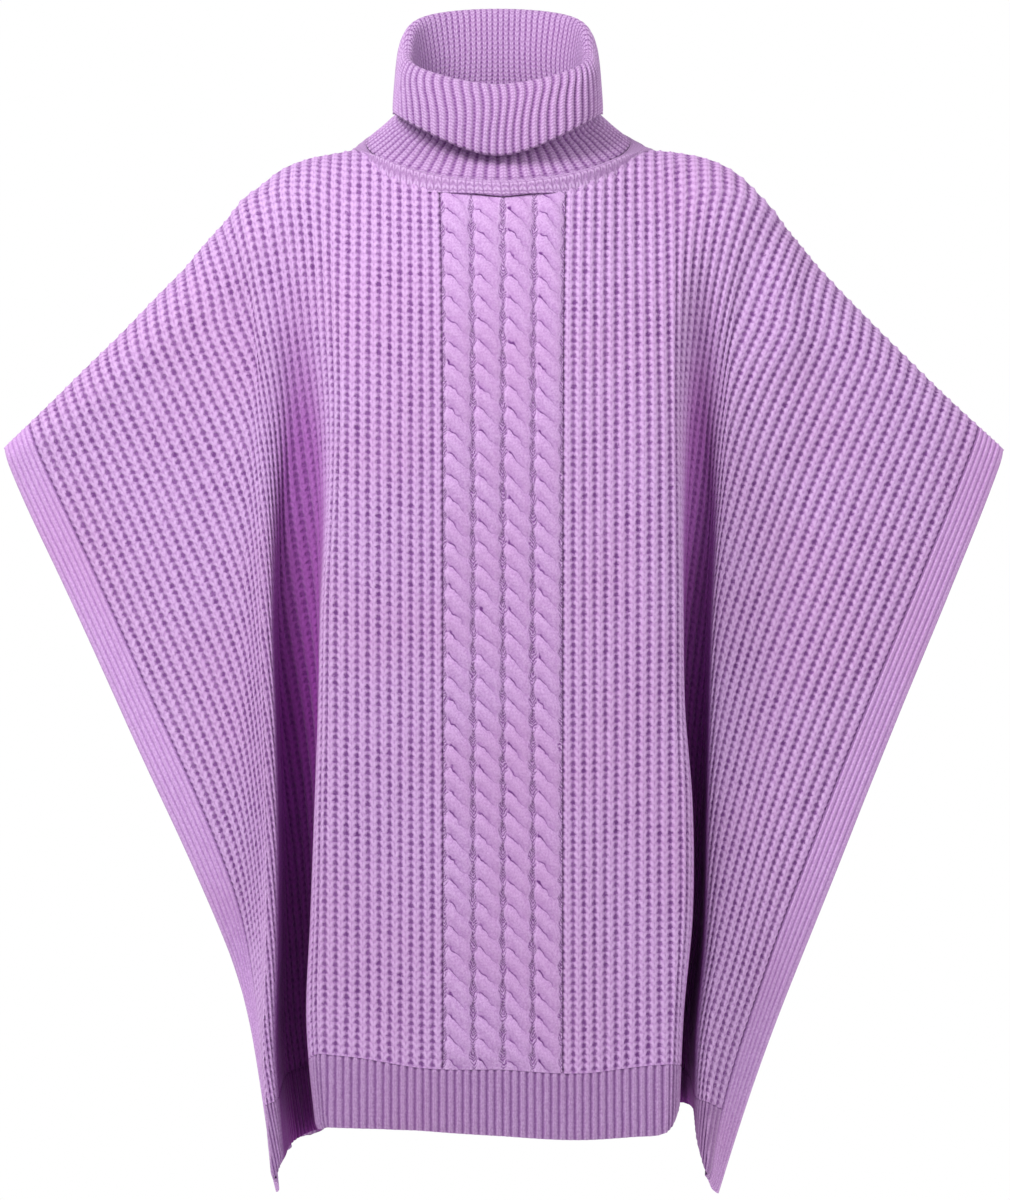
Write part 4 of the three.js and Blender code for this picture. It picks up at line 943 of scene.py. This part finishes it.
def weltPiece(name, materials):
    angle = np.linspace(-np.pi, np.pi, weltKnit["stitches"] * weltKnit["columns"] + 1)
    across = cut["neckHalf"] * np.sin(angle)
    ahead = np.cos(angle) >= 0

    def edgePoint(depth):
        points = np.empty(angle.shape + (3,))
        for face, mask in ((front, ahead), (back, ~ahead)):
            down = neckDown(face, across[mask])
            points[mask] = clothPoint(face, across[mask], down) - clothNormal(face, across[mask], down) * depth
        return points

    def topPoint(row):
        points = ringPoint(row, angle)
        out = points * np.array([1, 1, 0])
        return points + unit(out) * weltKnit["clear"] + np.array([0, 0, -weltKnit["clear"]])

    low, high = edgePoint(0), topPoint(collarRows[0][1:])
    out = unit(low * np.array([1, 1, 0])) * 0.8 + np.array([0, 0, 0.6])
    stitch = np.linspace(0, weltKnit["stitches"], len(angle))
    plump = 1 - 0.85 * smooth(0.8, 1, np.abs(np.sin(angle)))
    sag = (weltKnit["slack"] + weltKnit["sag"] * np.sin(2 * angle) ** 2) * plump
    rings = []
    for k in range(weltKnit["rows"]):
        share = k / (weltKnit["rows"] - 1)
        bulge = weltKnit["bulge"] * np.sin(np.pi * share) ** 0.6 * plump
        dimple = weltKnit["dimple"] * np.cos(2 * np.pi * stitch) * np.sin(3 * np.pi * share) ** 2
        hang = sag * np.sin(np.pi * min(share * 2.2, 1)) * np.minimum(1, bulge / 2)
        rings.append(mix(low, high, share) + out * (bulge + dimple)[:, None] + np.outer(hang, (0, 0, -1)))
    rings.append(topPoint(collarRows[-1][1:]))
    rings.append(edgePoint(cut["wall"]))
    rings, cloth, index = closeRings(rings)
    course = np.arange(len(rings)) / weltKnit["rowsInStitch"]
    stitches = np.stack(np.broadcast_arrays(stitch[None, :], course[:, None]), -1)
    cloth.addGrid(index, stitches, 0, True)
    cloth.addGrid(np.stack([index[-1], index[0]]), np.stack([stitches[-1], stitches[0]]), 0, True)
    return cloth.makeMesh(name, materials)


print("yarns")
cardiganYarn = yarnMaterial("cardiganYarn", halfCardigan)
cableYarn = yarnMaterial("cableYarn", ropeCable, tint=0.97, relief=0.8)
# The hem's tint of 0.83 is painted shade: it darkens the rib at the bottom for the light that falls off towards the
# hem.
hemYarn = yarnMaterial("hemYarn", softRib, tint=0.83)
borderYarn = yarnMaterial("borderYarn", edgeRib, tint=1.1)
collarYarn = yarnMaterial("collarYarn", plainRib, tint=0.9)
innerYarn = yarnMaterial("innerYarn", backRib, tint=0.92)
weltYarn = yarnMaterial("weltYarn", smallVees, tint=0.93)

print("panels")
frontPanel = panelPiece(front, "frontPanel", frontCreases, True, [cardiganYarn, cableYarn])
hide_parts("front_panel")
backPanel = panelPiece(back, "backPanel", backCreases, False, [cardiganYarn])
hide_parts("back_panel")

print("hems and borders")
frontHem = hemPiece(front, "frontHemRib", frontCreases, [hemYarn])
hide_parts("front_hem_rib")
backHem = hemPiece(back, "backHemRib", backCreases, [hemYarn])
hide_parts("back_hem_rib")
for face, creases, word in ((front, frontCreases, "front"), (back, backCreases, "back")):
    for sign, hand in ((-1, "left"), (1, "right")):
        piece = borderPiece(face, sign, word + hand.capitalize() + "Border", creases, [borderYarn])
        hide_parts(f"{word}_border_{hand}")

print("neck")
neckWelt = weltPiece("neckWelt", [weltYarn])
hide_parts("neck_welt")
collar = collarPiece("collarRib", [collarYarn, innerYarn])
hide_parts("collar")

# The length of each panel across its width, from its top edge down to the hem rib; nothing uses it.
places = np.linspace(-panelHalf, panelHalf, 400)
for piece, face, hem, word in ((frontPanel, front, frontHem, "front"), (backPanel, back, backHem, "back")):
    drop = fullDown(face, places) - cut["hemRibHeight"] - topDown(face, places)

print("studio")
view = {"place": (0.0016, -3.5, -0.351), "lens": 134.6, "sensor": 36, "reach": 50}
stage = {
    "floorDown": -1.38,      # metres below the shoulders
    "reach": 3.5,            # half width of the floor
    "paper": (250, 249, 250),
    "air": 0.42,             # light that comes from all round
}


def paperMaterial():
    material, tree, shader, start = newMaterial("studioPaper")
    place = start.node("ShaderNodeTexCoord", None, None, 3)
    grain = start.node("ShaderNodeTexNoise", None, {"Vector": place, "Scale": 400.0, "Detail": 2.0}, 0)
    normal = start.node("ShaderNodeBump", None, {"Strength": 0.05, "Distance": 0.0005, "Height": grain})
    tree.links.new(normal.socket, shader.inputs["Normal"])
    shader.inputs["Base Color"].default_value = linear(*stage["paper"])
    shader.inputs["Roughness"].default_value = 0.9
    return material


def floor():
    low, reach = stage["floorDown"], stage["reach"]
    mesh = bpy.data.meshes.new("floor")
    mesh.from_pydata([(x, y, low) for x, y in ((-reach, -reach), (reach, -reach), (reach, reach), (-reach, reach))],
                     [], [(0, 1, 2, 3)])
    mesh.materials.append(paperMaterial())
    newObject("floor", mesh)


def areaLight(name, place, aim, size, power, colour=(1, 1, 1)):
    light = bpy.data.lights.new(name, "AREA")
    light.shape, light.size, light.energy, light.color = "SQUARE", size, power, colour
    made = newObject(name, light)
    made.location = place
    direction = np.array(place) - np.array(aim)
    made.rotation_euler = (math.atan2(math.hypot(direction[0], direction[1]), direction[2]), 0,
                           math.atan2(direction[1], direction[0]) + math.pi / 2)


floor()
lights = {
    "key": dict(place=(-1.0, -1.15, 1.1), aim=(0, 0, -0.2), size=0.8, power=31),
    "fill": dict(place=(1.8, -1.5, 0.75), aim=(0, 0, -0.25), size=1.2, power=14),
    "rearLeft": dict(place=(-1.5, 1.5, 0.8), aim=(0, 0, -0.25), size=1.2, power=13),
    "rearRight": dict(place=(1.7, 1.5, 0.8), aim=(0, 0, -0.25), size=1.2, power=13),
}
for name, light in lights.items():
    areaLight(name, **light)

world = bpy.data.worlds.new("studio")
world.use_nodes = True
background = world.node_tree.nodes["Background"]
seen = Link(world.node_tree, None).node("ShaderNodeLightPath")      # white to the camera, dimmer as a light
world.node_tree.links.new((seen * (1 - stage["air"]) + stage["air"]).socket, background.inputs["Strength"])
background.inputs["Color"].default_value = (1, 1, 1, 1)
bpy.context.scene.world = world
bpy.context.scene.view_settings.view_transform = "Standard"

camera = bpy.data.cameras.new("camera")
camera.sensor_fit, camera.sensor_height, camera.lens = "VERTICAL", view["sensor"], view["lens"]
camera.clip_end = view["reach"]
cameraObject = newObject("camera", camera)
cameraObject.location = view["place"]
cameraObject.rotation_euler = (math.pi / 2, 0, 0)
bpy.context.scene.camera = cameraObject
